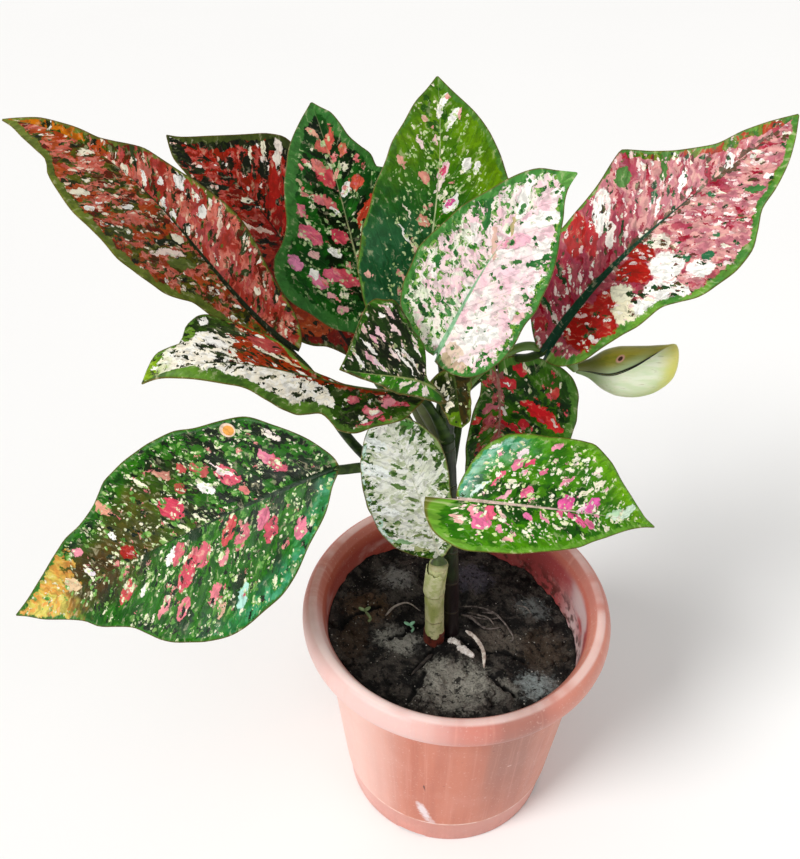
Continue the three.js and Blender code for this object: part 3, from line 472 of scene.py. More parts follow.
class Nodes:
    """Shader nodes written as expressions."""

    def __init__(self, name):
        self.material = bpy.data.materials.new(name)
        self.material.use_nodes = True
        self.tree = self.material.node_tree
        self.tree.nodes.clear()
        self.shader = self.tree.nodes.new("ShaderNodeBsdfPrincipled")
        output = self.tree.nodes.new("ShaderNodeOutputMaterial")
        self.tree.links.new(self.shader.outputs[0], output.inputs["Surface"])

    def link(self, value, socket):
        if isinstance(value, bpy.types.NodeSocket):
            self.tree.links.new(value, socket)
        elif isinstance(value, str):
            socket.default_value = rgb(value)
        else:
            socket.default_value = value

    def math(self, operation, *values):
        node = self.tree.nodes.new("ShaderNodeMath")
        node.operation = operation
        for value, socket in zip(values, node.inputs):
            self.link(value, socket)
        return node.outputs[0]

    def add(self, a, b):
        return self.math("ADD", a, b)

    def times(self, *values):
        out = values[0]
        for value in values[1:]:
            out = self.math("MULTIPLY", out, value)
        return out

    def ramp(self, value, low, high):
        """0 below low and 1 above high, smooth between; low above high turns it round."""
        node = self.tree.nodes.new("ShaderNodeMapRange")
        node.interpolation_type = "SMOOTHSTEP"
        turned = low > high
        self.link(value, node.inputs["Value"])
        node.inputs["From Min"].default_value = high if turned else low
        node.inputs["From Max"].default_value = low if turned else high
        node.inputs["To Min"].default_value = 1 if turned else 0
        node.inputs["To Max"].default_value = 0 if turned else 1
        return node.outputs["Result"]

    def mix(self, factor, a, b):
        node = self.tree.nodes.new("ShaderNodeMix")
        node.data_type = "RGBA"
        self.link(factor, node.inputs["Factor"])
        self.link(a, node.inputs["A"])
        self.link(b, node.inputs["B"])
        return node.outputs[2]

    def vector(self, x, y, z):
        node = self.tree.nodes.new("ShaderNodeCombineXYZ")
        for value, socket in zip((x, y, z), node.inputs):
            self.link(value, socket)
        return node.outputs[0]

    def parts(self, vector):
        node = self.tree.nodes.new("ShaderNodeSeparateXYZ")
        self.link(vector, node.inputs[0])
        return node.outputs

    def attribute(self, name):
        node = self.tree.nodes.new("ShaderNodeAttribute")
        node.attribute_name = name
        return node.outputs["Vector"]

    def add_vectors(self, *vectors):
        out = vectors[0]
        for vector in vectors[1:]:
            node = self.tree.nodes.new("ShaderNodeVectorMath")
            self.link(out, node.inputs[0])
            self.link(vector, node.inputs[1])
            out = node.outputs[0]
        return out

    def shake(self, vector, size, reach):
        """A push to and fro of up to about half the reach, to break an edge up."""
        node = self.tree.nodes.new("ShaderNodeTexNoise")
        self.link(vector, node.inputs["Vector"])
        node.inputs["Scale"].default_value = 1 / size
        node.inputs["Detail"].default_value = 3
        centred = self.tree.nodes.new("ShaderNodeMapping")
        self.link(node.outputs["Color"], centred.inputs["Vector"])
        centred.inputs["Scale"].default_value = (reach, reach, 0)
        centred.inputs["Location"].default_value = (-reach / 2, -reach / 2, 0)
        return centred.outputs[0]

    def away(self, flat, middle, half_size, turn=0):
        """How far out of an oval's middle a point of the plane is: 1 on the oval's edge."""
        node = self.tree.nodes.new("ShaderNodeMapping")
        node.vector_type = "TEXTURE"
        self.link(flat, node.inputs["Vector"])
        node.inputs["Location"].default_value = (*middle, 0)
        node.inputs["Rotation"].default_value = (0, 0, turn)
        node.inputs["Scale"].default_value = (*half_size, 1)
        away = self.tree.nodes.new("ShaderNodeVectorMath")
        away.operation = "LENGTH"
        self.link(node.outputs[0], away.inputs[0])
        return away.outputs["Value"]

    def grade(self, colour, gamma, saturation):
        """Deeper middle tones and stronger colours; white stays white."""
        deeper = self.tree.nodes.new("ShaderNodeGamma")
        self.link(colour, deeper.inputs["Color"])
        deeper.inputs["Gamma"].default_value = gamma
        stronger = self.tree.nodes.new("ShaderNodeHueSaturation")
        self.link(deeper.outputs[0], stronger.inputs["Color"])
        stronger.inputs["Saturation"].default_value = saturation
        return stronger.outputs[0]

    def place(self):
        """The point in millimetres, from the object's own coordinates."""
        coordinates = self.tree.nodes.new("ShaderNodeTexCoord").outputs["Object"]
        node = self.tree.nodes.new("ShaderNodeVectorMath")
        node.operation = "SCALE"
        self.link(coordinates, node.inputs[0])
        node.inputs["Scale"].default_value = 1 / MM
        return node.outputs[0]

    def noise(self, vector, size, detail=2, roughness=0.5):
        """Cloud noise with features about size wide."""
        node = self.tree.nodes.new("ShaderNodeTexNoise")
        self.link(vector, node.inputs["Vector"])
        node.inputs["Scale"].default_value = 1 / size
        node.inputs["Detail"].default_value = detail
        node.inputs["Roughness"].default_value = roughness
        return node.outputs["Fac"]

    def cells(self, vector, size):
        node = self.tree.nodes.new("ShaderNodeTexVoronoi")
        self.link(vector, node.inputs["Vector"])
        node.inputs["Scale"].default_value = 1 / size
        return node

    def bump(self, height, distance, strength=1.0):
        node = self.tree.nodes.new("ShaderNodeBump")
        node.inputs["Strength"].default_value = strength
        node.inputs["Distance"].default_value = distance * MM
        self.link(height, node.inputs["Height"])
        self.link(node.outputs[0], self.shader.inputs["Normal"])

    def finish(self, colour, roughness, **settings):
        self.link(colour, self.shader.inputs["Base Color"])
        self.link(roughness, self.shader.inputs["Roughness"])
        for socket, value in settings.items():
            self.shader.inputs[socket.replace("_", " ")].default_value = value
        return self.material


# ================================================================ leaf materials

VEIN_ANGLE_AT = 0.45
WASH_EDGE = 0.02
SOFT_WASH_EDGE = 0.1
WASH_BREAK_UP = 0.55
FLECK_EDGE = 0.07
FLECK_BREAK_UP = 0.7
FLECK_STRETCH = 1.4
FLECK_CHANCE_EDGE = 0.01


def leaf_material(name, leaf, dark, light, margin, margin_mm, rib, washes=(), patches=(), flecks=(), dots=()):
    """A patterned leaf, painted from the ground up.

    First come washes of cloud noise, placed patches and flecks of small cells, all drawn out along the
    side veins. Then come the plain margin, the midrib, the veins, the dots, the stalk and the underside.
    """
    n = Nodes(name)
    across, along, side = n.parts(n.attribute("flat"))
    t, _, half_width_here = n.parts(n.attribute("share"))
    half = n.math("SIGN", across)
    place = n.vector(across, along, 0.0)
    swayed = n.add_vectors(place, n.shake(place, 9, 4.5))
    ragged = n.add_vectors(swayed, n.shake(place, 2.6, 3.4), n.shake(place, 0.8, 1.1))
    out = n.math("ABSOLUTE", n.parts(ragged)[0])
    edge = n.math("SUBTRACT", half_width_here, n.math("ABSOLUTE", across))
    wander = n.add(n.noise(place, 5, 3), -0.5)
    base_lean, growth = leaf["lean"]
    lean = n.add(n.times(t, -growth), -base_lean)
    vein_angle = math.atan(lean_at(leaf, VEIN_ANGLE_AT))
    length = rib_length(leaf)

    def patch_mask(where, along_rib, across_rib, half_length, half_wide):
        turn = math.atan(lean_at(leaf, along_rib / length))
        if across_rib < 0:
            turn = -turn
        away = n.away(where, (across_rib, along_rib), (half_length, half_wide), turn)
        return n.ramp(away, 1.05, 0.93)

    def turned(where):
        """The place measured square to the side veins and along them."""
        sideways, forward, _ = n.parts(where)
        from_rib = n.math("ABSOLUTE", sideways)
        return (n.add(n.times(forward, math.cos(vein_angle)), n.times(from_rib, -math.sin(vein_angle))),
                n.add(n.times(forward, math.sin(vein_angle)), n.times(from_rib, math.cos(vein_angle))))

    turned_ragged, turned_swayed = turned(ragged), turned(swayed)

    def veined(size, stretch, seed, where=turned_ragged):
        own_pattern = n.add(n.times(half, 3.1 * size), seed * size)
        return n.vector(where[0], n.times(where[1], 1 / stretch), own_pattern)

    def thinned(value, layer, reach):
        """The value lowered past where its layer ends: the layer breaks up there, and a soft one fades."""
        ends = []
        if "edge" in layer:
            ends.append(n.ramp(n.add(edge, n.times(wander, 5)), *layer["edge"]))
        if "out" in layer:
            ends.append(n.ramp(out, *layer["out"]))
        if "span" in layer:
            ends.append(n.ramp(n.add(t, n.times(wander, 0.15)), *layer["span"]))
        if "half" in layer:
            ends.append(n.ramp(n.times(half, layer["half"]), -0.5, 0.5))
        if not ends:
            return value
        if layer.get("soft"):
            return n.times(value, *ends)
        return n.add(value, n.times(n.add(n.times(*ends), -1.0), reach))

    def paint_of(layer, vector, size):
        first, second = layer["colours"]
        return n.mix(n.ramp(n.noise(vector, size, 3), 0.42, 0.58), first, second)

    colour = n.mix(n.ramp(n.noise(veined(8, 1.6, 50), 8, 4, 0.6), 0.4, 0.6), dark, light)
    for number, layer in enumerate(washes):
        size = layer["size"]
        vector = veined(size, layer.get("stretch", 2.0), 7.3 * number)
        level = 0.5 + 0.36 * (0.5 - layer["amount"])
        cloud = n.noise(vector, size, 4, 0.6)
        if layer.get("soft"):
            mask = thinned(n.ramp(cloud, level - SOFT_WASH_EDGE, level + SOFT_WASH_EDGE), layer, 0)
        else:
            mask = n.ramp(thinned(cloud, layer, WASH_BREAK_UP), level - WASH_EDGE, level + WASH_EDGE)
        paint = paint_of(layer, vector, size * 0.35)
        colour = n.mix(n.times(mask, layer.get("strength", 1.0)), colour, paint)
    colour = n.grade(colour, 1.2, 1.1)
    for patch in patches:
        colour = n.mix(patch_mask(ragged, *patch[:4]), colour, patch[4])
    clusters = n.times(n.add(n.noise(place, 8, 2), -0.5), 1.3)
    torn = n.times(n.add(n.noise(place, 1.1, 3, 0.65), -0.5), 1.5)
    for number, layer in enumerate(flecks):
        size = layer["size"]
        vector = veined(size, layer.get("stretch", FLECK_STRETCH), 11.7 * number + 3, turned_swayed)
        cell = n.cells(vector, size)
        chance, shape, _ = n.parts(cell.outputs["Color"])
        drawn = thinned(n.add(chance, clusters), layer, FLECK_BREAK_UP)
        chosen = 1 - layer["amount"]
        picked = n.ramp(drawn, chosen - FLECK_CHANCE_EDGE, chosen + FLECK_CHANCE_EDGE)
        reach = n.add(n.times(shape, 0.4), layer.get("fill", 0.2))
        outside = n.math("SUBTRACT", n.add(cell.outputs["Distance"], torn), reach)
        mask = n.times(n.ramp(outside, FLECK_EDGE, -FLECK_EDGE), picked)
        colour = n.mix(n.times(mask, layer.get("strength", 1.0)), colour, paint_of(layer, vector, size))

    left, right, at_base = (*margin_mm, 1)[:3]
    margin_here = n.add(n.times(n.ramp(half, -0.5, 0.5), right - left), left)
    margin_here = n.times(margin_here, n.add(n.times(n.ramp(t, 0.15, 0.45), 1 - at_base), at_base))
    fray = n.times(n.add(n.noise(place, 1.5, 3, 0.65), -0.5), 4)
    beyond = n.math("SUBTRACT", n.add(n.add(edge, fray), n.times(wander, 7)), margin_here)
    plain = n.mix(n.ramp(n.noise(place, 12, 3), 0.35, 0.65), margin, light)
    colour = n.mix(n.ramp(beyond, 0.5, -0.5), colour, plain)
    colour = n.mix(n.times(n.ramp(edge, 0.7, 0.2), 0.7), colour, WORN_EDGE)
    rib_colour, rib_mm, rib_end = rib
    rib_half = n.times(n.ramp(t, rib_end, -0.1), rib_mm)
    on_rib = n.ramp(n.math("SUBTRACT", n.math("ABSOLUTE", across), rib_half), 0.25, -0.2)
    streaks = n.noise(n.vector(n.times(across, 3), along, 0.0), 7, 3)
    streaky = n.mix(n.times(n.ramp(streaks, 0.45, 0.7), 0.5), rib_colour, dark)
    colour = n.mix(n.times(on_rib, n.ramp(t, rib_end, rib_end - 0.1)), colour, streaky)
    along_veins = n.add(along, n.times(n.math("ABSOLUTE", across), lean))
    staggered = n.add(along_veins, n.times(half, VEIN_SPACING * VEIN_STAGGER))
    vein_line = n.math("PINGPONG", staggered, VEIN_SPACING / 2)
    side_vein = n.times(n.ramp(vein_line, 0.5, 0.1), n.ramp(edge, 2, 8))
    colour = n.mix(n.times(side_vein, 0.14), colour, dark)
    for patch in dots:
        colour = n.mix(patch_mask(place, *patch[:4]), colour, patch[4])
    stalk = n.mix(n.ramp(n.noise(n.place(), 5, 3), 0.4, 0.6), STALK_GREEN, STALK_DARK)
    colour = n.mix(n.ramp(t, -0.005, -0.02), colour, stalk)
    shade = n.noise(veined(1.6, 3, 90), 1.6, 4)
    colour = n.mix(n.times(n.ramp(shade, 0.56, 0.34), 0.36), colour, DEEP_SHADE)
    colour = n.mix(n.times(n.ramp(shade, 0.56, 0.72), 0.3), colour, PALE_STREAK)
    pale = n.mix(0.6, colour, UNDERSIDE_TINT)
    colour = n.mix(n.ramp(side, 0.75, 0.25), colour, pale)

    height = n.add(n.times(n.noise(place, 0.9, 3), 0.25), n.times(side_vein, -0.5))
    height = n.add(height, n.times(n.noise(veined(2.4, 2.5, 40), 2.4, 3), 0.9))
    n.bump(height, 0.35, 0.6)
    rough = n.add(0.28, n.times(n.noise(place, 5, 3), 0.2))
    return n.finish(colour, rough, Specular_IOR_Level=0.11)


def coat(size, amount, first, second, **where):
    """A wash or a set of flecks: its size in mm, the share it covers and its two colours."""
    return dict(size=size, amount=amount, colours=(first, second), **where)


# Each leaf's colours. In a layer, edge, out, span and half say where it begins and is full. A patch is
# (along, across, half length, half width, colour) on the flat leaf, in mm.
LEAF_LOOKS = {
    "leaf_far_left": dict(
        dark="2a3a14", light="5c6b22", margin="6f7d28", margin_mm=(4.8, 1), rib=("141f0c", 1.9, 0.74),
        washes=[
            coat(14, 1.25, "b05a44", "bc6c50"),
            coat(12, 1.0, "c26e6c", "b0564e", half=1, span=(0.8, 0.7)),
            coat(5, 0.48, "dc9488", "cc786c", stretch=2.2),
            coat(5, 0.42, "3c4216", "6a6a26", stretch=2.2, half=-1),
            coat(4, 0.28, "7a2a22", "5e3c1c", stretch=2.4),
            coat(6, 0.6, "5a6a22", "3a4a16", edge=(9, 4), span=(0.55, 0.7)),
            coat(7, 0.8, "c8803c", "b06a30", edge=(8, 3), span=(0.72, 0.84)),
        ],
        patches=[
            (57, -13, 8, 2.2, "5c6b2a"), (66, -11, 8, 1.8, "18210e"), (82, -27, 6, 3, "3f4a1c"),
            (45, 18, 6, 2, "33401c"), (22, 17, 8, 1.3, "1c2612"), (70, 24, 9, 2, "5a6a22"),
            (36, 10, 2, 2, "33401c"), (96, 8, 4, 1.2, "33401c"), (63, 2, 3, 1.5, "1c2612"),
            (64, -16, 10, 1.5, "f0d8cc"), (64, -5, 3.5, 1.5, CREAM), (64, 12, 2.5, 1.6, WHITE),
            (78, 15, 4.5, 2, WHITE), (71, 2, 2.8, 1.4, WHITE), (76, 1.4, 2.6, 1.1, WHITE),
            (82, 8, 1.7, 1.2, WHITE), (88, 4, 2.4, 1, WHITE), (95, 1, 2.8, 1, CREAM),
            (85, -13, 2.8, 1, WHITE), (103, -24, 4.5, 2, CREAM), (96, -29, 2, 1.2, WHITE),
            (110, -3, 3, 1.4, CREAM), (104, -17, 1.8, 1, CREAM), (12, -11, 5, 2.2, "edccc4"),
            (27, 9, 2, 1.5, CREAM), (57, 15, 7, 0.8, "e8c8b4"), (46, -29, 5, 1, CREAM),
        ],
        flecks=[
            coat(2.6, 0.2, "0f1606", "2c3410", stretch=2.4),
            coat(1.7, 0.26, "1c2408", "5c6322", stretch=2.4),
            coat(2.1, 0.05, WHITE, CREAM, stretch=2.2),
            coat(1.4, 0.14, "e8b8a0", CREAM, stretch=2.4),
        ]),
    "leaf_back_left": dict(
        dark="121a08", light="333f14", margin="4a561c", margin_mm=(1.5, 3.5), rib=("24140a", 0.9, 0.9),
        washes=[
            coat(14, 1.2, "9c4034", "8c2014"),
            coat(7, 0.6, "c4706a", "a43c34", stretch=1.6, span=(0.4, 0.52)),
            coat(6, 0.7, "10180a", "2c3612", stretch=1.5, edge=(14, 6), span=(0.5, 0.62)),
            coat(5, 0.34, "10160a", "2c2410", stretch=1.8),
        ],
        patches=[
            (70, 6, 13, 6, "a5150f"), (80, 16, 9, 4, "aa1a10"), (66, 2, 6, 3, "8e1410"),
            (60, -13, 6, 4, "b83422"), (90, 27, 4, 1.6, "f3e6da"), (86, 22, 4.4, 1.5, "f3e6da"),
            (93, 21, 3.4, 1.4, CREAM), (88, 16, 4, 1.2, "f3e6da"), (95, 14, 4, 1.1, CREAM),
            (83, 29, 2.4, 1.4, "e8c8bc"), (83, -2, 3, 1.6, CREAM), (75, -13, 5, 1.5, "f0d0c0"),
            (68, -6, 6, 1.3, "ecc4b4"), (57, -21, 3.5, 1.6, CREAM), (45, -20, 4, 1.2, CREAM),
            (93, 10, 4, 2, "101608"), (88, 14, 4, 2, "101608"), (88, -14, 2.5, 1.5, CREAM),
            (30, -16, 14, 5, "b03a14"), (20, -10, 12, 4, "bc4c1c"), (100, -12, 10, 2.5, "141c0e"),
        ],
        flecks=[
            coat(2.8, 0.26, "0a1004", "222c10", stretch=2, span=(0.4, 0.5)),
            coat(1.8, 0.2, "200c06", "26300f", stretch=2),
            coat(2, 0.06, WHITE, "e8b8a8", stretch=1.6, span=(0.45, 0.6)),
        ]),
    "leaf_tall_left": dict(
        dark="204a22", light="357030", margin="3c7630", margin_mm=(6, 4), rib=("9aa070", 0.55, 1.0),
        washes=[
            coat(8, 0.55, "0f200a", "1a3612", out=(20, 9)),
        ],
        patches=[
            (28, -7, 8, 3, "cf4a5c"), (31, -12, 5, 2.4, "d9607a"), (31, -19, 5, 2.6, "e07a9a"),
            (46, -5, 4.5, 2.8, "cf4258"), (41, -27, 4, 2.6, "e58ab0"), (51, -17, 6.5, 3, "d9607a"),
            (53, -22, 4.5, 1.6, "e58a9a"), (62, -19, 3.6, 2, "dd7488"), (72, -4, 5.5, 3.2, "cf4650"),
            (61, -5, 4.5, 2, "d96c6c"), (64, -10, 4, 2, "dd7a80"), (77, -6, 3.6, 1.6, "dd7a70"),
            (84, -1.5, 4, 1.8, "d86a5c"), (91, -4, 4, 1.2, "e5a58c"), (16, -12, 2.6, 1.8, "e2a0a4"),
            (23, -15, 2.6, 1.2, "e2a0a4"), (80, 6, 3.2, 1.6, "dd7458"), (86, 2.5, 4, 2, "cf5648"),
            (66, 8, 3.4, 2.8, "d8543e"), (54, 9, 8, 1.8, "c43c24"), (64, 3, 3.4, 1.5, WHITE),
            (34, -20, 2.6, 1.8, WHITE), (40, -9, 4.5, 1.3, WHITE), (68, -15, 1.8, 1.1, "dd8a80"),
            (73, -16, 2.4, 1, "b8a480"), (57, -3.5, 3, 0.9, WHITE), (72, 1, 3, 1, "e59a8c"),
            (42, -18, 2.6, 1.6, "d8a8a4"),
        ],
        flecks=[
            coat(3, 0.2, "d85a60", "e5908c", out=(24, 14)),
            coat(2.2, 0.12, CREAM, "b8cc90", edge=(5, 9)),
            coat(1.5, 0.26, "8fb070", "c8d8a0", strength=0.85, edge=(2, 6)),
        ]),
    "leaf_tall_back": dict(
        dark="34682c", light="487c2c", margin="4f7c2a", margin_mm=(1.2, 3), rib=("c4cc9a", 0.6, 1.0),
        washes=[
            coat(20, 1.3, "7c9c38", "98b248", half=1, edge=(22, 1), soft=True),
            coat(20, 0.9, "5c8430", "74983a", span=(0.5, 0.8), soft=True),
            coat(20, 1.2, "30603c", "447250", half=-1, span=(0.75, 0.35), soft=True),
            coat(5, 0.34, "24501e", "326428", stretch=2.2, out=(16, 4), strength=0.8),
        ],
        patches=[
            (60, 6, 4.5, 2.2, WHITE), (60.5, 5.6, 2.6, 1.1, "de5c9c"), (68, 1.1, 4.5, 1, "f0dcd4"),
            (73, 2, 3.4, 2.2, "efc4c8"), (73, 1.8, 2.2, 1.4, "d2486c"), (98, 1, 5, 1.2, WHITE),
            (93, 5, 4.5, 1.2, WHITE), (95, 7.6, 1.6, 1, "e6a0a8"), (76, 11, 3, 1.6, WHITE),
            (75, 15, 3.2, 1.1, WHITE), (84, -8, 3.2, 1.2, "f0d4d4"), (85, -1.5, 2.2, 1, "eac0bc"),
            (94, -6.5, 1.8, 1.2, "e8b8a0"), (76, -16, 3.6, 1.1, "e2a08c"), (70, -6, 3.4, 2, "dc9280"),
            (53, -5, 2.6, 2.2, "d68c78"), (41, -7, 4, 0.9, "e9c0a8"), (47, -12, 5, 0.6, WHITE),
            (56, -12, 4, 0.5, CREAM), (30, -11, 2, 1.2, "dc8c84"), (29, -25, 2, 1.4, "e8b0a0"),
            (28, -9, 3, 1, "e0a898"), (63, 2.5, 2.4, 0.9, CREAM),
        ],
        flecks=[
            coat(2.2, 0.04, "e8b0a0", "dc8c84", out=(16, 8)),
            coat(1.6, 0.12, CREAM, "b8cc90", out=(18, 9)),
            coat(1.2, 0.3, "c8d8a0", "9cba70", edge=(2, 7), out=(28, 14)),
        ]),
    "leaf_pale_centre": dict(
        dark="1f5a2c", light="4c8a3c", margin="3c7c34", margin_mm=(2.6, 2.2), rib=("8fc295", 1.1, 0.68),
        washes=[
            coat(14, 1.3, "f6f2ec", "efdcdc"),
            coat(11, 0.5, "f0d0d6", "f4e0e0", stretch=1.5),
            coat(9, 0.4, "e8ecd8", "f2ece2", stretch=1.3, half=-1),
            coat(3, 0.56, "2f7430", "86a85c", stretch=1.4, edge=(10, 3)),
            coat(2.4, 0.34, "3c7c38", "9cbc7c", stretch=1.6, half=-1),
        ],
        patches=[
            (64, 3.4, 9, 2.4, "eab4c2"), (62, 2.2, 4, 1, "dc90a4"), (58, -1.6, 7, 1.1, "d8b0a0"),
            (70, -1, 6, 0.9, "b8a878"), (4, 12, 5, 3, "d4b89c"), (7, 6, 5, 3.4, "dcc4b0"),
            (2, 5, 3, 3, "b8a484"), (44, 24, 6, 1.2, "e8bcb8"), (52, 8, 7, 2, "f0ccd4"),
            (22, 12, 10, 4, WHITE), (80, 6, 9, 3, WHITE), (80, -5, 9, 2, WHITE), (66, 15, 5, 1.6, "2a6a30"),
            (72, 17, 5, 1.2, "2a6a30"), (59, 9, 3, 0.8, "3f7a3c"), (25, -4.5, 1.6, 2, "4f8a4c"),
            (20, -4.5, 2.6, 1.2, "4f8a4c"), (32, 8, 2, 0.9, "3f7a3c"), (21, 7, 1.5, 0.9, "3f7a3c"),
            (62, -9, 3, 1.6, "2f7034"), (68, -12, 6, 1.4, "2f7034"), (15, -14, 4, 1.3, "1f4a20"),
            (38, -17, 3, 1.3, "2f7034"), (76, -3, 2.6, 0.9, "4f8a4c"),
        ],
        flecks=[
            coat(2.6, 0.34, "1c5622", "3f7c34", edge=(13, 6)),
            coat(2.2, 0.24, "24602a", "5c9048", half=-1),
            coat(2.2, 0.1, "205a28", "4c8640"),
            coat(1.4, 0.16, "e4b8c0", "a8bc8c", strength=0.7),
        ],
        dots=[(99, 0, 6, 4, "5a9440")]),
    "leaf_far_right": dict(
        dark="17452a", light="3f7a30", margin="6a9a34", margin_mm=(1, 3.6), rib=("12402c", 2.5, 0.78),
        washes=[
            coat(14, 1.3, "bc7078", "b05c6c"),
            coat(7, 0.7, "dcaca8", "c48890", stretch=2, span=(0.35, 0.5)),
            coat(3, 0.5, "2c4a24", "5c5030", stretch=2, out=(5, 1), strength=0.8),
            coat(4, 0.26, "a03c4a", "b85c68", stretch=2.6),
            coat(8, 0.7, "a8402c", "b85a44", half=-1, edge=(7, 3), span=(0.5, 0.6)),
            coat(5, 0.55, "4c7c34", "7c8a3c", edge=(8, 3), span=(0.45, 0.55)),
        ],
        patches=[
            (22, 12, 14, 9, "b01412"), (16, 8, 9, 6, "a8120e"), (30, 12, 7, 9, "b4201c"),
            (50, 9, 8, 5, "b01a12"), (57, 5, 6, 3.4, "a8180f"), (39, 21, 9, 5, "ece4c4"),
            (41, 12, 6, 3.6, "ece8cc"), (47, 27, 9, 4, WHITE), (55, 25, 9, 6, WHITE), (62, 17, 8, 6, WHITE),
            (65, 6.5, 5, 3, "efe6d4"), (60, 30, 6, 3, WHITE), (72, 28, 5.5, 4, WHITE),
            (42, -22, 9, 5, "b01a18"), (46, -16, 8, 3, "b82a30"), (30, -16, 8, 4, "a82e44"),
            (8, -8, 3.5, 2.5, "b02a34"), (55, -21, 9, 4.2, WHITE), (52, -11, 6, 1.8, "f1e6dc"),
            (86, -7, 5, 1.2, WHITE), (104, -2.4, 3.6, 2, WHITE), (111, 13.5, 2.2, 1.5, WHITE),
            (12, -4, 4, 1.2, "f0dcd4"), (20, 15, 1.8, 1.1, WHITE), (73, -6, 4, 1, WHITE),
            (44, 15, 3, 1.4, "243a1a"), (48, 20, 3, 1.2, "1c3316"), (43, 19, 2, 1.1, "1c3316"),
            (55, 23, 4, 1.2, "1c4020"), (77, 25, 2.4, 2, "2a6a44"), (70, 20, 2, 1.6, "2a6a44"),
            (84, 20, 1.6, 1.4, "3a7a50"), (70, -25, 4, 3, "4c7c34"), (84, -17, 6, 1.6, "4c7c34"),
            (74, -10, 3, 1.1, "1f5a34"), (105, 15, 4, 1.2, "3f7a3c"), (91, 4.5, 1.7, 1.1, "2a6a44"),
            (15, -12, 6, 1.2, "1c4a24"), (28, -14, 7, 0.8, "1c3a1c"), (56, -8, 5, 0.8, "1c3a1c"),
            (22, 12, 3, 0.9, "1c2a10"), (54, -16, 1.6, 0.9, "141c10"), (56, -21, 2, 1, "141c10"),
            (51, -21, 2, 0.8, "141c10"),
        ],
        flecks=[
            coat(2.1, 0.12, "2a5a2c", "123214", stretch=1.8),
            coat(1.5, 0.26, "e8c0bc", "f4e0dc", stretch=2.6),
            coat(1.9, 0.07, WHITE, CREAM, stretch=2.4),
            coat(1.5, 0.14, "6a2a2c", "4a4a24", stretch=2.4),
        ]),
    "leaf_low_left": dict(
        dark="183c16", light="3a7a26", margin="34682a", margin_mm=(1.2, 1.6), rib=("102a12", 1.1, 0.66),
        washes=[
            coat(10, 0.5, "2a6420", "447f2a"),
            coat(5, 0.5, "0c1c08", "182f10", stretch=2.4, half=1, span=(0.6, 0.4)),
            coat(14, 1.2, "4c5220", "64602c", half=1, span=(0.3, 0.6), edge=(4, 16), soft=True),
            # Painted sheen: a soft teal wash near the left edge of the lower half
            coat(9, 0.9, "3f8f5c", "6cb894", half=-1, span=(0.55, 0.3), edge=(16, 3), soft=True,
                  strength=0.7),
            coat(8, 0.8, "46341a", "5c3c20", span=(0.5, 0.7), out=(18, 4), soft=True, strength=0.85),
            coat(6, 1.1, "c08c5c", "cfae6c", span=(0.72, 0.86), half=1),
            coat(9, 1.2, "dfae70", "d8cc7c", span=(0.78, 0.88), soft=True),
        ],
        patches=[
            (24, 12, 6.5, 2.6, "cf5a70"), (27, 16, 4, 2, "d97a94"), (46, 16, 7, 3.6, "cf5066"),
            (57, 23, 4.5, 2.6, "b8504c"), (64, 27, 2.6, 2, "c2504c"), (68, 19, 3, 2.4, "a84a3c"),
            (76, 13, 7, 4.4, "cf3f58"), (73, 28, 4.5, 2.4, "c08070"), (41, 6, 3, 2, "d0706c"),
            (104, 4, 5, 3.4, "a01c12"), (128, 14, 3, 2, "e890a0"), (22, -19, 5.5, 2.6, "e07a90"),
            (37, -8, 6, 2.6, "cf6a84"), (35, -14, 6, 3, "c8485c"), (49, -12, 7, 2.6, "cf6c78"),
            (54, -7, 7, 2.8, "c8484c"), (60, -17, 4, 1.8, "dc848c"), (69, -12, 6, 3, "cf5c6c"),
            (79, -16, 10, 3.2, "cf4a5c"), (81, -7, 5, 2.6, "d0606c"), (70, -30, 6, 2.6, "dd7a84"),
            (86, -30, 5, 2.8, "dd7280"), (95, -26, 5.5, 1.8, "e08a90"), (111, -12, 5.5, 2.6, "c84a4c"),
            (69, -37, 4, 2.2, "dcae94"), (48, 18.5, 6, 1.1, "f3dcdc"), (22, 24, 5, 1.6, "f3e4dc"),
            (57, 14, 4.6, 2.6, WHITE), (108, 14, 2.6, 1.5, WHITE), (126, 4, 3.6, 1.5, "e8dce4"),
            (85, 30, 5, 0.9, CREAM), (85, -6, 4.5, 1.7, WHITE), (103, -15, 3.2, 1.4, WHITE),
            # The pale teal patch at 57 mm along is painted sheen
            (57, -36, 6, 2.4, "a8d8c8"), (108, 28, 7, 2.6, "dc9a80"), (136, 2, 5, 3, "d8b890"),
        ],
        flecks=[
            coat(3.4, 0.12, "c8606a", "d88a84", span=(0.84, 0.7), edge=(3, 9)),
            coat(2.4, 0.26, "4f8c34", "7ca850"),
            coat(2.1, 0.3, "061406", "12280c", stretch=2.2, span=(0.84, 0.7)),
            coat(1.8, 0.1, CREAM, "d0dca8", stretch=2, span=(0.86, 0.76), edge=(2, 5)),
            coat(1.2, 0.16, "b8d090", CREAM, strength=0.8),
        ],
        dots=[(38.5, 33.5, 3.8, 2.8, "eed0b8"), (38.2, 33.2, 2.7, 2, "e8a048")]),
    "leaf_drooping_left": dict(
        dark="1a280c", light="3c5e1c", margin="5a8424", margin_mm=(4.6, 1.2, 0.3), rib=("4a5a24", 0.6, 0.9),
        washes=[
            coat(12, 1.25, "a84428", "b85c48", half=1),
            coat(3, 0.36, "3c2410", "5c5020", stretch=3, half=1),
            coat(6, 1.2, "f3ecdc", "f7f4ec", stretch=1.6, span=(0.26, 0.38), half=-1),
            coat(6, 1.2, "f3ecdc", "f7f4ec", stretch=1.6, span=(0.58, 0.72), half=1, out=(24, 17)),
            coat(8, 1.2, "3f5c1c", "2a4012", span=(0.6, 0.66), out=(15, 19), half=1),
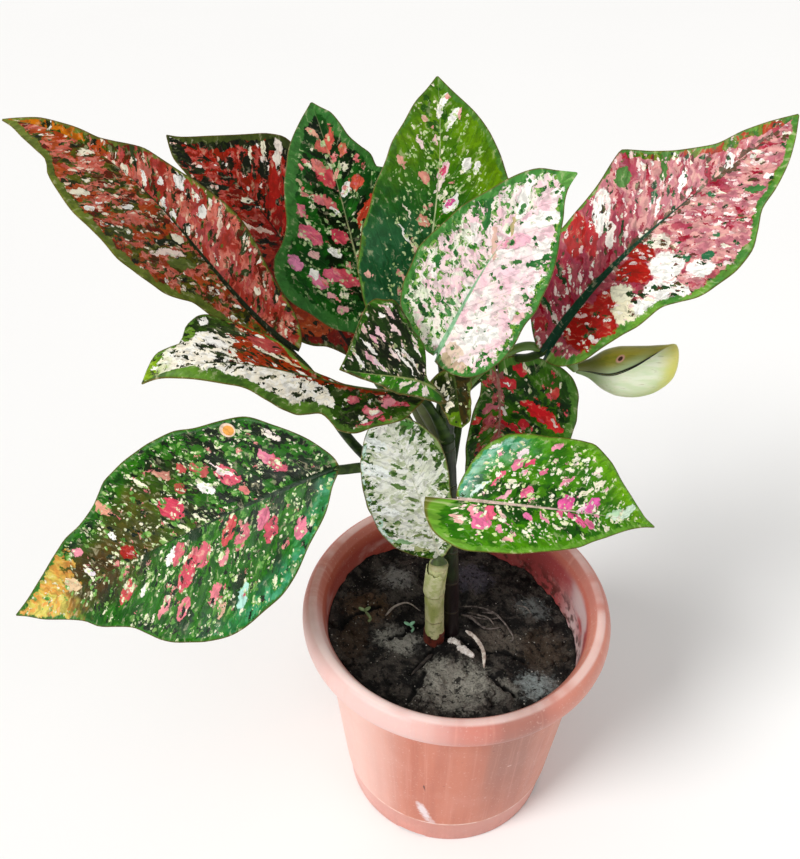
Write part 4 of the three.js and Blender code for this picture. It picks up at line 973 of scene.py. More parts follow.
            coat(4, 0.36, "c8606c", "d88490", stretch=1.8, span=(0.34, 0.24), half=-1),
            coat(6, 0.8, "942c14", "a84424", stretch=2, span=(0.5, 0.42), out=(3.4, 1.6)),
            coat(9, 0.9, "4f7a20", "6a942c", span=(0.84, 0.96)),
            coat(9, 1.2, "84a83c", "a0bc4c", span=(0.88, 1), soft=True),
        ],
        patches=[
            (23, -11, 4, 2, "d4707c"), (14, -6, 4, 1.6, "d88490"), (30, -7, 3, 1.4, "c8606c"),
            (64, 13, 7, 4, "b04440"), (62, 8, 5, 1, CREAM), (55, 6, 5, 1, "e8d8b0"),
            (90, 24, 2.6, 2.4, WHITE), (84, 17, 6, 1.6, "1c2c0e"), (99, 17, 4, 4, "5f8420"),
            (78, 19, 8, 2, "2c4014"), (88, 12, 8, 2.2, WHITE), (52, 10, 4, 1.5, "5a7a28"),
            (56, 1.4, 7, 0.7, "18220c"), (72, 7, 4, 0.7, "1c2810"), (66, -4, 4, 0.7, "1c2810"),
            (53, -8, 4, 0.8, "1c2810"), (36, -5, 4, 1.4, "33441c"), (79, -3, 3.4, 0.7, "1c2810"),
            (86, 5, 4, 0.7, "2c3c18"), (90, 9, 4, 0.7, "2c3c18"),
        ],
        flecks=[
            coat(2.4, 0.34, "080e04", "1c280c", stretch=2.6, span=(0.2, 0.3)),
            coat(1.6, 0.36, "0c1406", "26360f", stretch=2.8),
            coat(1.9, 0.14, CREAM, WHITE, stretch=2.2),
        ]),
    "leaf_small_centre": dict(
        dark="101f08", light="2a4814", margin="44701f", margin_mm=(1, 1.6), rib=("8fa05a", 0.55, 1.0),
        washes=[
            coat(7, 0.6, "34601c", "4a7c28", half=1, edge=(9, 4)),
            coat(8, 1.2, "3f7a2c", "5a9438", half=-1),
        ],
        patches=[
            (26, 26, 4.4, 0.8, "e8c0c0"), (30, 17, 3.4, 0.9, "e8c0c8"), (33, 15, 2, 1, "e8a8b8"),
            (23, 19, 3, 1, "ecd0d0"), (35, 6, 4.6, 0.9, "e8b0bc"), (31, 4, 4, 1, "f0d8dc"),
            (41, 4, 3.4, 1.1, WHITE), (43, 6, 2, 0.9, WHITE), (24, 9, 4, 0.9, "f0dcd8"),
            (19, 7, 7, 0.7, WHITE), (16, 8, 7, 0.7, WHITE), (12, 12, 3, 0.7, WHITE),
            (36, 11, 5, 0.8, WHITE), (29, 24, 2, 1, WHITE), (38, 18, 2, 1, "e8c0c0"),
            (13, -3, 5, 1.1, "f0d8d8"), (8, -3, 3, 1, "f0e4dc"), (18, -2.5, 3, 0.9, CREAM),
        ],
        flecks=[
            coat(1.6, 0.14, WHITE, "f0d4d4", stretch=2),
            coat(1.2, 0.2, "a8b880", "e0c0b0", stretch=1.6),
        ]),
    "leaf_young_shoot": dict(
        dark="3a6422", light="6a9040", margin="8aa062", margin_mm=(0.2, 1.2), rib=("d8d8c0", 0.5, 0.9),
        washes=[
            coat(12, 1.3, "dfe2d2", "eff0e8"),
            coat(7, 0.4, "f6f6f0", "c4ccb0", stretch=1.3),
            coat(4.4, 0.46, "2c5016", "587c34", stretch=1.6, edge=(11, 4)),
            # Painted sheen: a cool pale wash along the left edge
            coat(6, 0.7, "e8f4ee", "c4e0d0", half=-1, edge=(6, 1), span=(0.15, 0.25)),
        ],
        patches=[
            (25, -17, 4, 1.6, WHITE), (20, -14, 6, 1.2, "8fb884"), (45, -18, 10, 2.6, "f4f8f2"),
            (68, -13, 8, 3, "f2f7f2"), (82, -9, 6, 3, "f2f7f2"), (10, -8, 6, 1.4, "a8b078"),
            (85, 8, 4, 3, "4f8a38"), (88, -2, 2.4, 4, WHITE), (52, 11, 4, 1, "5a7a3c"),
            (62, 14, 5, 1, "3c5a28"), (55, -7, 4, 1.2, "5a7a3c"), (44, -3, 4, 0.7, "6a8448"),
            (38, -6, 3, 0.8, "6a8448"), (18, -4, 6, 0.9, "6a8040"), (66, -4, 3.4, 0.9, "5a7a3c"),
            (78, 8, 4, 1, "3f6a2c"),
        ],
        flecks=[
            coat(2.8, 0.26, "365a1c", "688848", stretch=1.5),
            coat(1.8, 0.26, "2c4c14", "64803c", stretch=1.3, edge=(13, 6)),
            coat(2.2, 0.2, WHITE, "f2f0e6", stretch=1.3, edge=(10, 4)),
        ]),
    "leaf_low_right": dict(
        dark="3a781c", light="5f982a", margin="6a9c2c", margin_mm=(2, 2.6), rib=("d4b8ac", 0.75, 0.86),
        washes=[
            coat(12, 0.5, "3f7a20", "5f982c"),
            coat(6, 0.5, "1c4a10", "2c601a", stretch=1.8, out=(18, 8), span=(0.8, 0.6)),
            # Painted sheen: a soft pale cyan wash near the left edge at the base
            coat(7, 1, "5fa888", "b4dccc", stretch=2.6, half=-1, span=(0.42, 0.12), edge=(18, 2),
                  strength=0.9, soft=True),
            coat(12, 1, "84b834", "74ac30", half=-1, span=(0.4, 0.75), edge=(16, 2), soft=True),
        ],
        patches=[
            (13, 9, 4.6, 3, "e8709c"), (15, 5, 3.4, 2, "dd5a78"), (21, 12, 2, 1.4, "e890a8"),
            (25, 16, 1.8, 1.2, "eab0a8"), (47, -3, 4.6, 3, "e4589c"), (44, 2, 2.4, 1.2, "e0608c"),
            (52, 3.5, 4.6, 2, "e0588c"), (59, -3, 5.5, 2.6, "ea64ac"), (58, 5, 3, 1.4, "e06c94"),
            (55, -1.4, 3, 1, "f0c8d8"), (29, -6, 3.6, 1.8, "e06088"), (16, -11, 5, 1.3, "e0607c"),
            (24, -18, 3.6, 2.2, "e07c98"), (30, -19, 3.2, 1.2, "d8486c"), (36, -15, 2.6, 1.4, "e07090"),
            (47, -13, 4, 1.2, "e890a4"), (37, 5, 4, 1, "e890a8"), (30, 5, 2.4, 1.2, "e070a0"),
            (41, -28, 3, 1, "e890a8"), (14, -26, 4, 2, "eef2ec"), (26, -23, 3, 1.2, "f0dce0"),
            (67, 6, 2.4, 1, CREAM), (19, -4, 4, 1, "eaa8b4"), (54, -23, 2, 1, "eef0d8"),
            (62, -14, 3, 1.4, CREAM), (56, -9, 4, 1.1, CREAM), (8, -6, 5, 1.2, "d8ece0"),
            (20, 5, 3, 1, "e8c0b8"), (8, 5, 2.6, 1, "e8909c"), (6, 9, 3, 0.9, "e8b0a8"),
            (78, -3.2, 9, 2, "d4ead0"), (72, -2, 6, 1.2, "b8dcb4"),
        ],
        flecks=[
            coat(3, 0.14, "f3d8d8", "e890a8", stretch=1.3, span=(0.78, 0.66), edge=(3, 8)),
            coat(2.3, 0.24, CREAM, "f3f0dc", stretch=1.3, span=(0.86, 0.74), edge=(3, 7)),
            coat(1.5, 0.32, CREAM, "c8dc90", edge=(1, 4)),
            coat(2.2, 0.16, "173c0c", "235014", out=(18, 8), span=(0.8, 0.6)),
        ]),
    "leaf_under_right": dict(
        dark="2f5618", light="4f7c28", margin="487c28", margin_mm=(4, 1.2), rib=("9c6c60", 0.8, 0.6),
        washes=[
            coat(6, 0.6, "b0706a", "9a5048", stretch=3, half=1, edge=(2, 6), span=(0.8, 0.6)),
            coat(5, 0.7, "b8787a", "a05c58", stretch=3, out=(5, 1.5), span=(0.7, 0.4)),
            coat(8, 0.25, "1c3c16", "2c501e"),
        ],
        patches=[
            (22, -20, 13, 2.8, "cc1a22"), (27, -26, 6, 2.2, "d42a2c"), (5, -4, 4, 2, "cc2a34"),
            (26, -6, 7, 1.6, "bc1a28"), (25, -11, 3, 1.6, "b8202c"), (14, -25, 2.4, 1.6, "d0403c"),
            (3, -10, 3.4, 1.4, "c8202c"), (8, 8, 3.6, 2, "c8303c"), (7, 11.5, 3, 1.2, "d84a4c"),
            (23, 10.5, 3.6, 1.2, "cc3030"), (16, 4, 6, 1.3, "b8606a"), (17, -1.4, 3.4, 0.8, "e8dcd4"),
            (22, 4, 3, 1.6, "b04a54"), (26, -26, 2.4, 0.6, "f0d0c8"), (5, -4, 1.6, 0.6, WHITE),
            (40, -12, 5, 2, "c83044"), (50, -20, 6, 2, "cc2a34"), (60, -8, 4, 2, "c83c50"),
            (66, 4, 4, 1.4, "b84a54"),
        ],
        flecks=[
            coat(2.2, 0.14, "c8242c", "d85060", stretch=1.8),
            coat(1.6, 0.12, "8fb060", CREAM),
            coat(2.2, 0.26, "0c1c08", "1c3810", stretch=1.8),
        ]),
    "leaf_sheath": dict(
        dark="26340f", light="4c6420", margin="627c28", margin_mm=(1.2, 0.8), rib=("3c4a1c", 0.5, 0.9),
        washes=[
            coat(7, 0.8, "33300f", "4a3e18", half=-1),
            coat(6, 0.5, "5c7c28", "6c8a30", span=(0.6, 0.8)),
        ],
        patches=[
            (9, 7, 4, 0.9, CREAM), (12, 5, 2.4, 0.8, WHITE), (15, 4, 2.4, 1, CREAM), (6, 9, 3, 0.5, CREAM),
        ],
        flecks=[
            coat(1.7, 0.14, CREAM, "c0c88c", stretch=2),
            coat(1.6, 0.2, "141c08", "242c0c", stretch=2),
        ]),
}


# ================================================================ leaves

def smooth_through(pairs, x):
    """A smooth curve through (place, value) pairs that doesn't overshoot."""
    last = len(pairs) - 1
    rise = [(after[1] - before[1]) / (after[0] - before[0]) for before, after in zip(pairs, pairs[1:])]

    def slope(k):
        if k in (0, last):
            return rise[0] if k == 0 else rise[-1]
        before, after = rise[k - 1], rise[k]
        return 2 * before * after / (before + after) if before * after > 0 else 0

    i = 0
    while i < last - 1 and x > pairs[i + 1][0]:
        i += 1
    (start, low), (end, high) = pairs[i], pairs[i + 1]
    step = end - start
    f = min(1, max(0, (x - start) / step))
    return ((2 * f ** 3 - 3 * f ** 2 + 1) * low + (f ** 3 - 2 * f ** 2 + f) * step * slope(i)
            + (3 * f ** 2 - 2 * f ** 3) * high + (f ** 3 - f ** 2) * step * slope(i + 1))


def half_width(widths, t):
    """Half width at a share of the blade's length, round at the base."""
    between = [(math.sqrt(share), width) for share, width in widths]
    return smooth_through([(0, BASE_HALF_WIDTH), *between, (1, TIP_HALF_WIDTH)], math.sqrt(t))


def lean_at(leaf, t):
    base, growth = leaf["lean"]
    return base + growth * t


def rib_length(leaf):
    points = [bezier(leaf["rib"], i / 20) for i in range(21)]
    return sum((b - a).length for a, b in zip(points, points[1:]))


def blade_point(leaf, t, s, lift, length, seed):
    """A place on a blade, and its flat place beside the midrib and along it."""
    ahead = bezier_ahead(leaf["rib"], t)
    looks = Vector(leaf["looks"][0]).lerp(Vector(leaf["looks"][1]), t)
    across = ahead.cross(looks).normalized()
    normal = across.cross(ahead)
    side = 0 if s < 0 else 1
    reach = abs(s)
    uneven = 1 + EDGE_UNEVENNESS * noise.noise(Vector((t * EDGE_UNEVENNESS_WAVES, side * 5, seed)))
    width = half_width(leaf["right" if side else "left"], t) * uneven
    angle = math.radians(leaf["fold"][side] + leaf["curl"][side] * (reach - CURL_CENTRE))
    height, ripples, start = leaf["wave"]
    ends = min(1, WAVE_RISE * t) * min(1, WAVE_FALL * (1 - t))
    phase = 2 * math.pi * (ripples * t + start + WAVE_OFFSET_RIGHT * side)
    ripple = height * s * s * math.sin(phase) * ends
    ruffle = noise.noise(Vector((t * EDGE_RUFFLE_WAVES, side * 9, seed + 4)))
    ripple += EDGE_RUFFLE * reach ** 3 * ruffle * ends
    back = leaf["lobe"][side] * reach ** LOBE_SHARPNESS * math.exp(-((t / LOBE_REACH) ** 2))
    out, along = width * reach, t * length
    stagger = VEIN_SPACING * VEIN_STAGGER * (1 if side else -1)
    vein = (along - lean_at(leaf, t) * out + stagger) / VEIN_SPACING
    between = abs(math.sin(math.pi * vein))
    fade = (min(1, RELIEF_FROM_EDGE * (1 - reach)), min(1, out / RELIEF_FROM_RIB))
    relief = (QUILTING * between ** 0.5 - VEIN_DEPTH) * fade[0] * fade[1] * ends
    groove = -RIB_GROOVE_DEPTH * math.exp(-((out / RIB_GROOVE_HALF_WIDTH) ** 2)) * (1 - t)
    place = (bezier(leaf["rib"], t) + across * (width * s * math.cos(angle))
             + normal * (out * math.sin(angle) + ripple + relief + groove + lift) - ahead * back)
    return place, (width * s, along), width


def blade_sheet(bm, leaf, layers, under, length, seed):
    """One side of a blade; returns its boundary edges."""
    flat, share = layers
    steps = dict(x_segments=BLADE_STEPS_ACROSS, y_segments=BLADE_STEPS_ALONG)
    made = bmesh.ops.create_grid(bm, **steps, size=1)["verts"]
    for v in made:
        s, t = v.co.x, ((v.co.y + 1) / 2) ** BASE_CROWDING
        thickness = BLADE_THICKNESS * (1 - EDGE_THINNING * abs(s) ** 3)
        lift = (-0.5 if under else 0.5) * thickness
        place, (across, along), width = blade_point(leaf, t, s, lift, length, seed)
        v.co = place * MM
        v[flat] = (across, along, 0 if under else 1)
        v[share] = (t, s, width)
    faces = {f for v in made for f in v.link_faces}
    if under:
        bmesh.ops.reverse_faces(bm, faces=list(faces))
    return list({e for v in made for e in v.link_edges if e.is_boundary})


def build_leaf(name, leaf, material, seed):
    """A blade of two sheets joined at the edge, and one tube for its stalk and the ridge under its midrib."""
    length = rib_length(leaf)
    bm = bmesh.new()
    layers = (bm.verts.layers.float_vector.new("flat"), bm.verts.layers.float_vector.new("share"))
    top = blade_sheet(bm, leaf, layers, False, length, seed)
    under = blade_sheet(bm, leaf, layers, True, length, seed)
    bmesh.ops.bridge_loops(bm, edges=top + under)
    radius = leaf["stalk_radius"]
    start, loss = RIDGE_TAPER
    ridge = []
    for i in range(RIDGE_STEPS + 1):
        share = i / RIDGE_STEPS
        lift = -radius * (start - loss * share)
        place, _, _ = blade_point(leaf, RIDGE_SHARE * share, 0, lift, length, seed)
        ridge.append(place)
    stalk = smooth_route([ridge[0], *[Vector(p) for p in leaf["stalk"]]], STALK_STEPS)
    route = [*reversed(stalk), *ridge[1:]]
    stalk_part = (len(stalk) - 1) / (len(route) - 1)

    def radius_at(share):
        if share < stalk_part:
            swell = 1 + leaf.get("sheath", SHEATH_SWELL) * max(0, 1 - SHEATH_FADE * share / stalk_part)
            return radius * swell * (1 - STALK_TAPER * share / stalk_part) * MM
        return radius * (start - loss * (share - stalk_part) / (1 - stalk_part)) * MM

    rings = sweep(bm, [p * MM for p in route], radius_at, sides=STALK_SIDES)
    for i, ring in enumerate(rings):
        on_blade = i >= len(stalk) - 1
        t = RIDGE_SHARE * (i - len(stalk) + 1) / RIDGE_STEPS if on_blade else STALK_T
        for v in ring:
            v[layers[0]] = (0, t * length, 0 if on_blade else 1)
            v[layers[1]] = (t, 0, STALK_HALF_WIDTH)
    return dress(name, object_from(name + "_blade", bm, material))


def build_leaves():
    for number, (name, leaf) in enumerate(LEAVES.items()):
        surface = leaf_material(name + "_surface", leaf, **LEAF_LOOKS[name])
        build_leaf(name, leaf, surface, LEAF_SEED_STEP * number)


# ================================================================ pot

def inner_radius(z):
    share = min(z / (POT_HEIGHT - RIM_HEIGHT), 1)
    return BASE_RADIUS + (BODY_TOP_RADIUS - BASE_RADIUS) * share - WALL


def pot_profile():
    """The wall's outline from the underside's middle, up the outside, over the rim and down to the floor."""
    foot_of_rim = POT_HEIGHT - RIM_HEIGHT

    def outer(z):
        return BASE_RADIUS + (BODY_TOP_RADIUS - BASE_RADIUS) * z / foot_of_rim

    foot, step = BASE_RADIUS - FOOT_STEP, outer(FOOT_STEP_HEIGHT)
    out = [(radius, 0) for radius in UNDERSIDE_RINGS]
    out += [(foot - inward, up) for inward, up in FOOT_ROUNDING]
    out += [(step - inward, FOOT_STEP_HEIGHT + up) for inward, up in FOOT_STEP_EDGE]
    bead = foot_of_rim - BEAD_BELOW_RIM
    out += [(outer(z), z) for z in (FOOT_STEP_HEIGHT + 1, *OUTER_RINGS, bead - BEAD_HEIGHT / 2 - 0.3)]
    out += [(outer(bead) + BEAD * 0.8, bead - BEAD_HEIGHT / 2), (outer(bead) + BEAD, bead),
            (outer(bead) + BEAD * 0.7, bead + BEAD_HEIGHT / 2), (outer(foot_of_rim), foot_of_rim + 0.3)]
    rim = (*RIM_UNDERSIDE, *RIM_OUTSIDE, *RIM_SHOULDER)
    out += [(RIM_RADIUS - inward, foot_of_rim + up) for inward, up in rim]
    out += [(inner_radius(z), z) for z in (foot_of_rim - 2, *INNER_RINGS, FLOOR + FLOOR_CORNER)]
    corner = inner_radius(FLOOR)
    return out + [(corner - FLOOR_CORNER * 0.6, FLOOR + 0.6), (corner - FLOOR_CORNER, FLOOR), (0, FLOOR)]


def spun(profile, steps):
    """A closed turned shape from an outline whose ends are on the axis."""
    bm = bmesh.new()
    verts = [bm.verts.new((r * MM, 0, z * MM)) for r, z in profile]
    edges = [bm.edges.new(pair) for pair in zip(verts, verts[1:])]
    bmesh.ops.spin(bm, geom=verts + edges, cent=(0, 0, 0), axis=(0, 0, 1), angle=2 * math.pi, steps=steps,
                   use_merge=True)
    bmesh.ops.remove_doubles(bm, verts=bm.verts, dist=MERGE_DISTANCE)
    return bm


def drain_cutter(angle):
    """A groove across the underside and the hole in it, as one tool."""
    bm = bmesh.new()
    length = RIM_RADIUS - DRAIN_INNER_RADIUS
    groove = bmesh.ops.create_cube(bm, size=1)["verts"]
    bmesh.ops.scale(bm, verts=groove, vec=(length * MM, DRAIN_WIDTH * MM, 2 * DRAIN_DEPTH * MM))
    bmesh.ops.translate(bm, verts=groove, vec=((DRAIN_INNER_RADIUS + length / 2) * MM, 0, 0))
    upper = [e for e in bm.edges if all(v.co.z > 0 for v in e.verts)]
    rounding = DRAIN_ROUNDING * MM
    bmesh.ops.bevel(bm, geom=upper, offset=rounding, affect="EDGES", segments=3, profile=0.5, material=-1)
    wide, deep = DRAIN_HOLE_RADIUS * MM, 4 * FLOOR * MM
    hole = bmesh.ops.create_cone(bm, cap_ends=True, segments=DRAIN_HOLE_SIDES, radius1=wide, radius2=wide,
                                 depth=deep)["verts"]
    bmesh.ops.translate(bm, verts=hole, vec=(DRAIN_HOLE_FROM_CENTRE * MM, 0, FLOOR * MM))
    bmesh.ops.rotate(bm, verts=bm.verts, cent=(0, 0, 0), matrix=Matrix.Rotation(angle, 3, "Z"))
    return bm


def pot_material():
    n = Nodes("salmon_pot_plastic")
    place = n.place()
    x, y, z = n.parts(place)
    radius = n.math("SQRT", n.add(n.times(x, x), n.times(y, y)))
    turn = n.math("ARCTAN2", y, x)
    round_wall = n.times(turn, BODY_TOP_RADIUS)
    upright = n.vector(round_wall, n.times(z, 0.06), 0.0)
    foot_of_rim = POT_HEIGHT - RIM_HEIGHT
    middle_of_wall = n.add(n.times(z, WALL_SLOPE), BASE_RADIUS - WALL / 2)
    inside = n.ramp(n.math("SUBTRACT", middle_of_wall, radius), -0.3, 0.3)
    rim = n.ramp(z, foot_of_rim - 0.5, foot_of_rim + 0.5)
    colour = n.mix(n.ramp(n.noise(upright, 9, 3), 0.35, 0.7), "c67860", "b96c56")
    colour = n.mix(n.times(n.ramp(n.noise(place, 30, 3), 0.45, 0.75), 0.5), colour, "cc8876")
    colour = n.mix(n.times(rim, 0.55), colour, "cf857c")
    front = n.ramp(y, 5, -25)
    wavy_x = n.add(x, n.times(n.add(n.noise(upright, 14, 3), -0.5), 16))
    # Painted reflection: a darker greyish band on the front, right of the middle
    dark_reflection_band = n.times(n.ramp(wavy_x, 8, 22), n.ramp(wavy_x, 50, 34), front, n.ramp(z, 10, 90))
    colour = n.mix(n.times(dark_reflection_band, 0.62), colour, "94685c")
    # Painted reflected light: the front turns lighter and warmer towards its right edge
    right_edge_reflected_light = n.times(n.ramp(wavy_x, 36, 58), front)
    colour = n.mix(n.times(right_edge_reflected_light, 0.5), colour, "d9927c")
    sheen = n.times(n.ramp(wavy_x, -20, -54), n.ramp(y, 60, 20), n.math("SUBTRACT", 1.0, n.times(rim, 0.85)))
    colour = n.mix(n.times(sheen, 0.68), colour, "f0ccc2")
    warm_rim = n.times(rim, n.ramp(x, -20, -60), n.ramp(y, -20, 20))
    colour = n.mix(n.times(warm_rim, 0.65), colour, "c4674e")
    front_sheen = n.times(rim, n.ramp(wavy_x, 6, -26), front)
    colour = n.mix(n.times(front_sheen, 0.5), colour, "f6e2de")
    streak = n.noise(n.vector(round_wall, n.times(z, 0.03), 7.0), 3, 3)
    colour = n.mix(n.times(n.ramp(streak, 0.56, 0.75), 0.3), colour, "e2a797")
    low_line = n.times(n.ramp(z, FOOT_STEP_HEIGHT - 0.6, FOOT_STEP_HEIGHT + 0.2),
                       n.ramp(z, FOOT_STEP_HEIGHT + 2.2, FOOT_STEP_HEIGHT + 0.8),
                       n.add(n.times(n.ramp(n.noise(upright, 7, 3), 0.35, 0.6), 0.7), 0.3))
    outside = n.math("SUBTRACT", 1.0, inside)
    colour = n.mix(n.times(low_line, outside, 0.85), colour, "f3d2c6")
    # Painted light: the band below the foot step is lightened against the shade it takes from facing the floor
    colour = n.mix(n.times(n.ramp(z, FOOT_STEP_HEIGHT, FOOT_STEP_HEIGHT - 2), outside, 0.6), colour, "e2a094")
    bead = foot_of_rim - BEAD_BELOW_RIM
    bead_line = n.times(n.ramp(z, bead - 0.9, bead - 0.2), n.ramp(z, bead + 1.1, bead + 0.4),
                        n.ramp(x, -40, 0))
    colour = n.mix(n.times(bead_line, outside, 0.55), colour, "f3d3c8")
    # Painted highlight: a pale line along the very top of the rim
    rim_top_highlight = n.times(n.ramp(z, POT_HEIGHT - 1.1, POT_HEIGHT - 0.3),
                       n.ramp(n.noise(upright, 20, 2), 0.3, 0.6))
    colour = n.mix(n.times(rim_top_highlight, 0.5), colour, "f8e6e0")
    red_edge = n.times(inside, n.ramp(z, foot_of_rim, foot_of_rim + 5))
    colour = n.mix(n.times(red_edge, 0.45), colour, "c8604c")
    red_wall = n.times(inside, n.ramp(z, 132, 126))
    colour = n.mix(n.times(red_wall, 0.85), colour, "b0464c")
    # Painted shade: the left part of the inner wall is darker and browner
    shaded_left_inner_wall = n.times(inside, n.ramp(x, 10, -30))
    colour = n.mix(n.times(shaded_left_inner_wall, 0.6), colour, "ac5038")
    wash = n.noise(n.vector(n.times(round_wall, 0.5), z, 2.0), 16, 3, 0.5)
    # A pale mineral line on the inner wall just above the soil, partly painted sheen
    mineral_line_and_sheen = n.times(n.ramp(wash, 0.5, 0.66), n.ramp(z, 104, 118))
    colour = n.mix(n.times(mineral_line_and_sheen, red_wall, 0.55), colour, "dcb4ac")
    # Painted sheen: a pinkish-white patch on the right part of the inner wall
    right_inner_wall_sheen = n.times(n.ramp(x, 46, 62), n.ramp(y, -34, -8), n.ramp(y, 34, 10), red_wall)
    colour = n.mix(n.times(right_inner_wall_sheen, n.ramp(wash, 0.36, 0.56), 0.8), colour, "dcc4c2")
    tide = n.times(n.ramp(n.noise(place, 5, 3), 0.46, 0.6), n.ramp(z, 122, 108), red_wall)
    colour = n.mix(n.times(tide, 0.8), colour, "4a2a22")
    dust = n.times(n.ramp(n.noise(place, 1.4, 4), 0.6, 0.72), 0.25)
    colour = n.mix(dust, colour, "ecd0c6")
    grime = n.times(n.ramp(n.noise(place, 3, 4, 0.6), 0.63, 0.75), 0.4)
    colour = n.mix(n.times(grime, n.ramp(z, 60, 10)), colour, "8a5546")
    for (mx, mz, width, height, lean, paint, hard) in POT_MARKS:
        local_x, local_z = n.add(x, -mx), n.add(z, -mz)
        u = n.math("DIVIDE", n.add(local_x, n.times(local_z, lean)), width)
        v = n.math("DIVIDE", local_z, height)
        uneven = n.times(n.add(n.noise(place, 2, 3), -0.5), 1.2)
        away = n.add(n.math("SQRT", n.add(n.times(u, u), n.times(v, v))), uneven)
        colour = n.mix(n.times(n.ramp(away, 1.1, 0.4), n.ramp(y, 0, -10), hard), colour, paint)
    n.bump(n.add(n.noise(place, 0.7, 3), n.times(n.noise(upright, 4, 2), 1.6)), 0.12, 0.5)
    rough = n.add(0.3, n.times(n.noise(place, 8, 3), 0.16))
    return n.finish(colour, rough, Specular_IOR_Level=0.32, Subsurface_Weight=0.05, Subsurface_Scale=0.003)


# Scuffs and scratches on the front: x, z, half width, half height, lean, colour, strength
POT_MARKS = [
    (-14.5, 33, 3.2, 12, 0.3, "ece6ea", 0.75), (-15, 61, 0.6, 3.6, 0.15, "4a2a24", 0.9),
    (-9.5, 23, 1.8, 5, 0.3, "e6d4d4", 0.5), (-5, 66, 0.8, 0.8, 0, "a3594a", 0.6),
    (3, 92, 0.7, 0.5, 0, "a3594a", 0.5), (28, 78, 1.6, 0.5, 0, "f0d2c8", 0.6),
    (18, 100, 0.6, 0.5, 0, "8a4a3c", 0.6),
]


def build_pot():
    material = pot_material()
    piece = object_from("nursery_pot", spun(pot_profile(), POT_SIDES), material)
    for i in range(DRAIN_COUNT):
        angle = math.radians(DRAIN_FIRST_ANGLE + 360 * i / DRAIN_COUNT)
        tool = object_from(f"drain_tool_{i}", drain_cutter(angle), material)
        cut = piece.modifiers.new(f"drain_{i}", "BOOLEAN")
        cut.operation, cut.solver, cut.object = "DIFFERENCE", "EXACT", tool
        # The groove and the hole of one tool cross each other
        cut.use_self = True
    bpy.context.view_layer.update()
    done = bpy.data.meshes.new_from_object(piece.evaluated_get(bpy.context.evaluated_depsgraph_get()))
    for cut in list(piece.modifiers):
        tool = cut.object
        piece.modifiers.remove(cut)
        bpy.data.objects.remove(tool)
    piece.data = done
    piece.data.materials.clear()
    piece.data.materials.append(material)
    piece.data.polygons.foreach_set("use_smooth", [True] * len(piece.data.polygons))
    piece.data.set_sharp_from_angle(angle=math.radians(POT_CREASE))
    return dress("pot", piece)


# ================================================================ soil and what lies on it

def soil_height(x, y):
    """The soil's level with its broad lumps alone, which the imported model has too."""
    (length_x, length_y), (start_x, start_y) = SOIL_LUMP_LENGTH, SOIL_LUMP_START
    cross_x, cross_y = SOIL_CROSS_LUMP_LENGTH
    lumps = math.sin(x / length_x + start_x) * math.cos(y / length_y + start_y)
    lumps += SOIL_CROSS_LUMP * math.sin(x / cross_x - y / cross_y)
    return SOIL_MIDDLE_HEIGHT - SOIL_SLOPE * x + SOIL_LUMP_HEIGHT * lumps


def soil_surface(x, y):
    """The top with its crusts, clods, pits and cracks."""
    def bumps(size, height, start=(0, 0, 0)):
        return noise.noise(Vector((x, y, 0)) / size + Vector(start)) * height

    clods = bumps(*CLODS) + abs(bumps(*RIDGES, (5, 2, 1))) - SOIL_SINK
    rough = bumps(*CRUMBLE, (1, 8, 3)) + bumps(*GRAIN)
    return soil_height(x, y) + clods + rough - CRACK_DEPTH * crack_depth(x, y)


def crack_depth(x, y):
    """1 in the middle of a crack and 0 away from it; the cracks wander and widen a little."""
    def wander(start):
        return noise.noise(Vector((x / CRACK_WANDER_LENGTH, y / CRACK_WANDER_LENGTH, start)))

    here = Vector((x, y)) + CRACK_WANDER * Vector((wander(9), wander(4)))
    nearest = math.inf
    for points in SOIL_CRACKS:
        for (ax, ay), (bx, by) in zip(points, points[1:]):
            a, b = Vector((ax, ay)), Vector((bx, by))
            share = max(0, min(1, (here - a).dot(b - a) / (b - a).length_squared))
            nearest = min(nearest, (here - a.lerp(b, share)).length)
    spread = noise.noise(Vector((x / CRACK_WIDENING_LENGTH, y / CRACK_WIDENING_LENGTH, 1)))
    return math.exp(-((nearest / (CRACK_HALF_WIDTH + CRACK_WIDENING * spread)) ** 2))


SOIL_CRACKS = [
    [(-12, -12), (-17, -20), (-23, -29)],
    [(-16, -26), (-20, -37), (-24, -46)],
    [(-14, 4), (-26, 1), (-34, -6)],
    [(2, -4), (12, -8), (26, -7), (36, -12)],
    [(18, -26), (28, -34), (36, -46)],
    [(-40, 14), (-52, 8), (-60, -4)],
]
# Pale crusts, brown patches and near-black patches of painted shade in the hollows: x, y, half length, half
# width, colour, strength
SOIL_PATCHES = [
    (-48, 12, 14, 12, "6a513a", 0.9), (-54, -12, 9, 14, "4a3828", 0.8), (47, -6, 14, 14, "4c3e30", 0.85),
    (-30, -8, 12, 9, "aaa89e", 0.95), (-32, 34, 10, 9, "9c9b96", 0.9), (0, -29, 19, 12, "a8a498", 0.95),
    (-4, -42, 18, 8, "9a958a", 0.9), (42, -29, 11, 9, "a9b4b2", 0.85), (24, 0, 14, 8, "6e6459", 0.85),
    (45, 24, 10, 8, "7c8482", 0.8), (12, 42, 13, 9, "5c5763", 0.9), (24, -34, 9, 7, "8c887e", 0.7),
    (-18, -14, 4, 7, "070505", 0.9), (-24, -32, 4, 12, "060505", 0.9), (4, 4, 11, 8, "0a0708", 0.85),
    (14, -14, 8, 4, "1c1714", 0.7), (-60, 2, 4, 12, "0c0a08", 0.8),
]


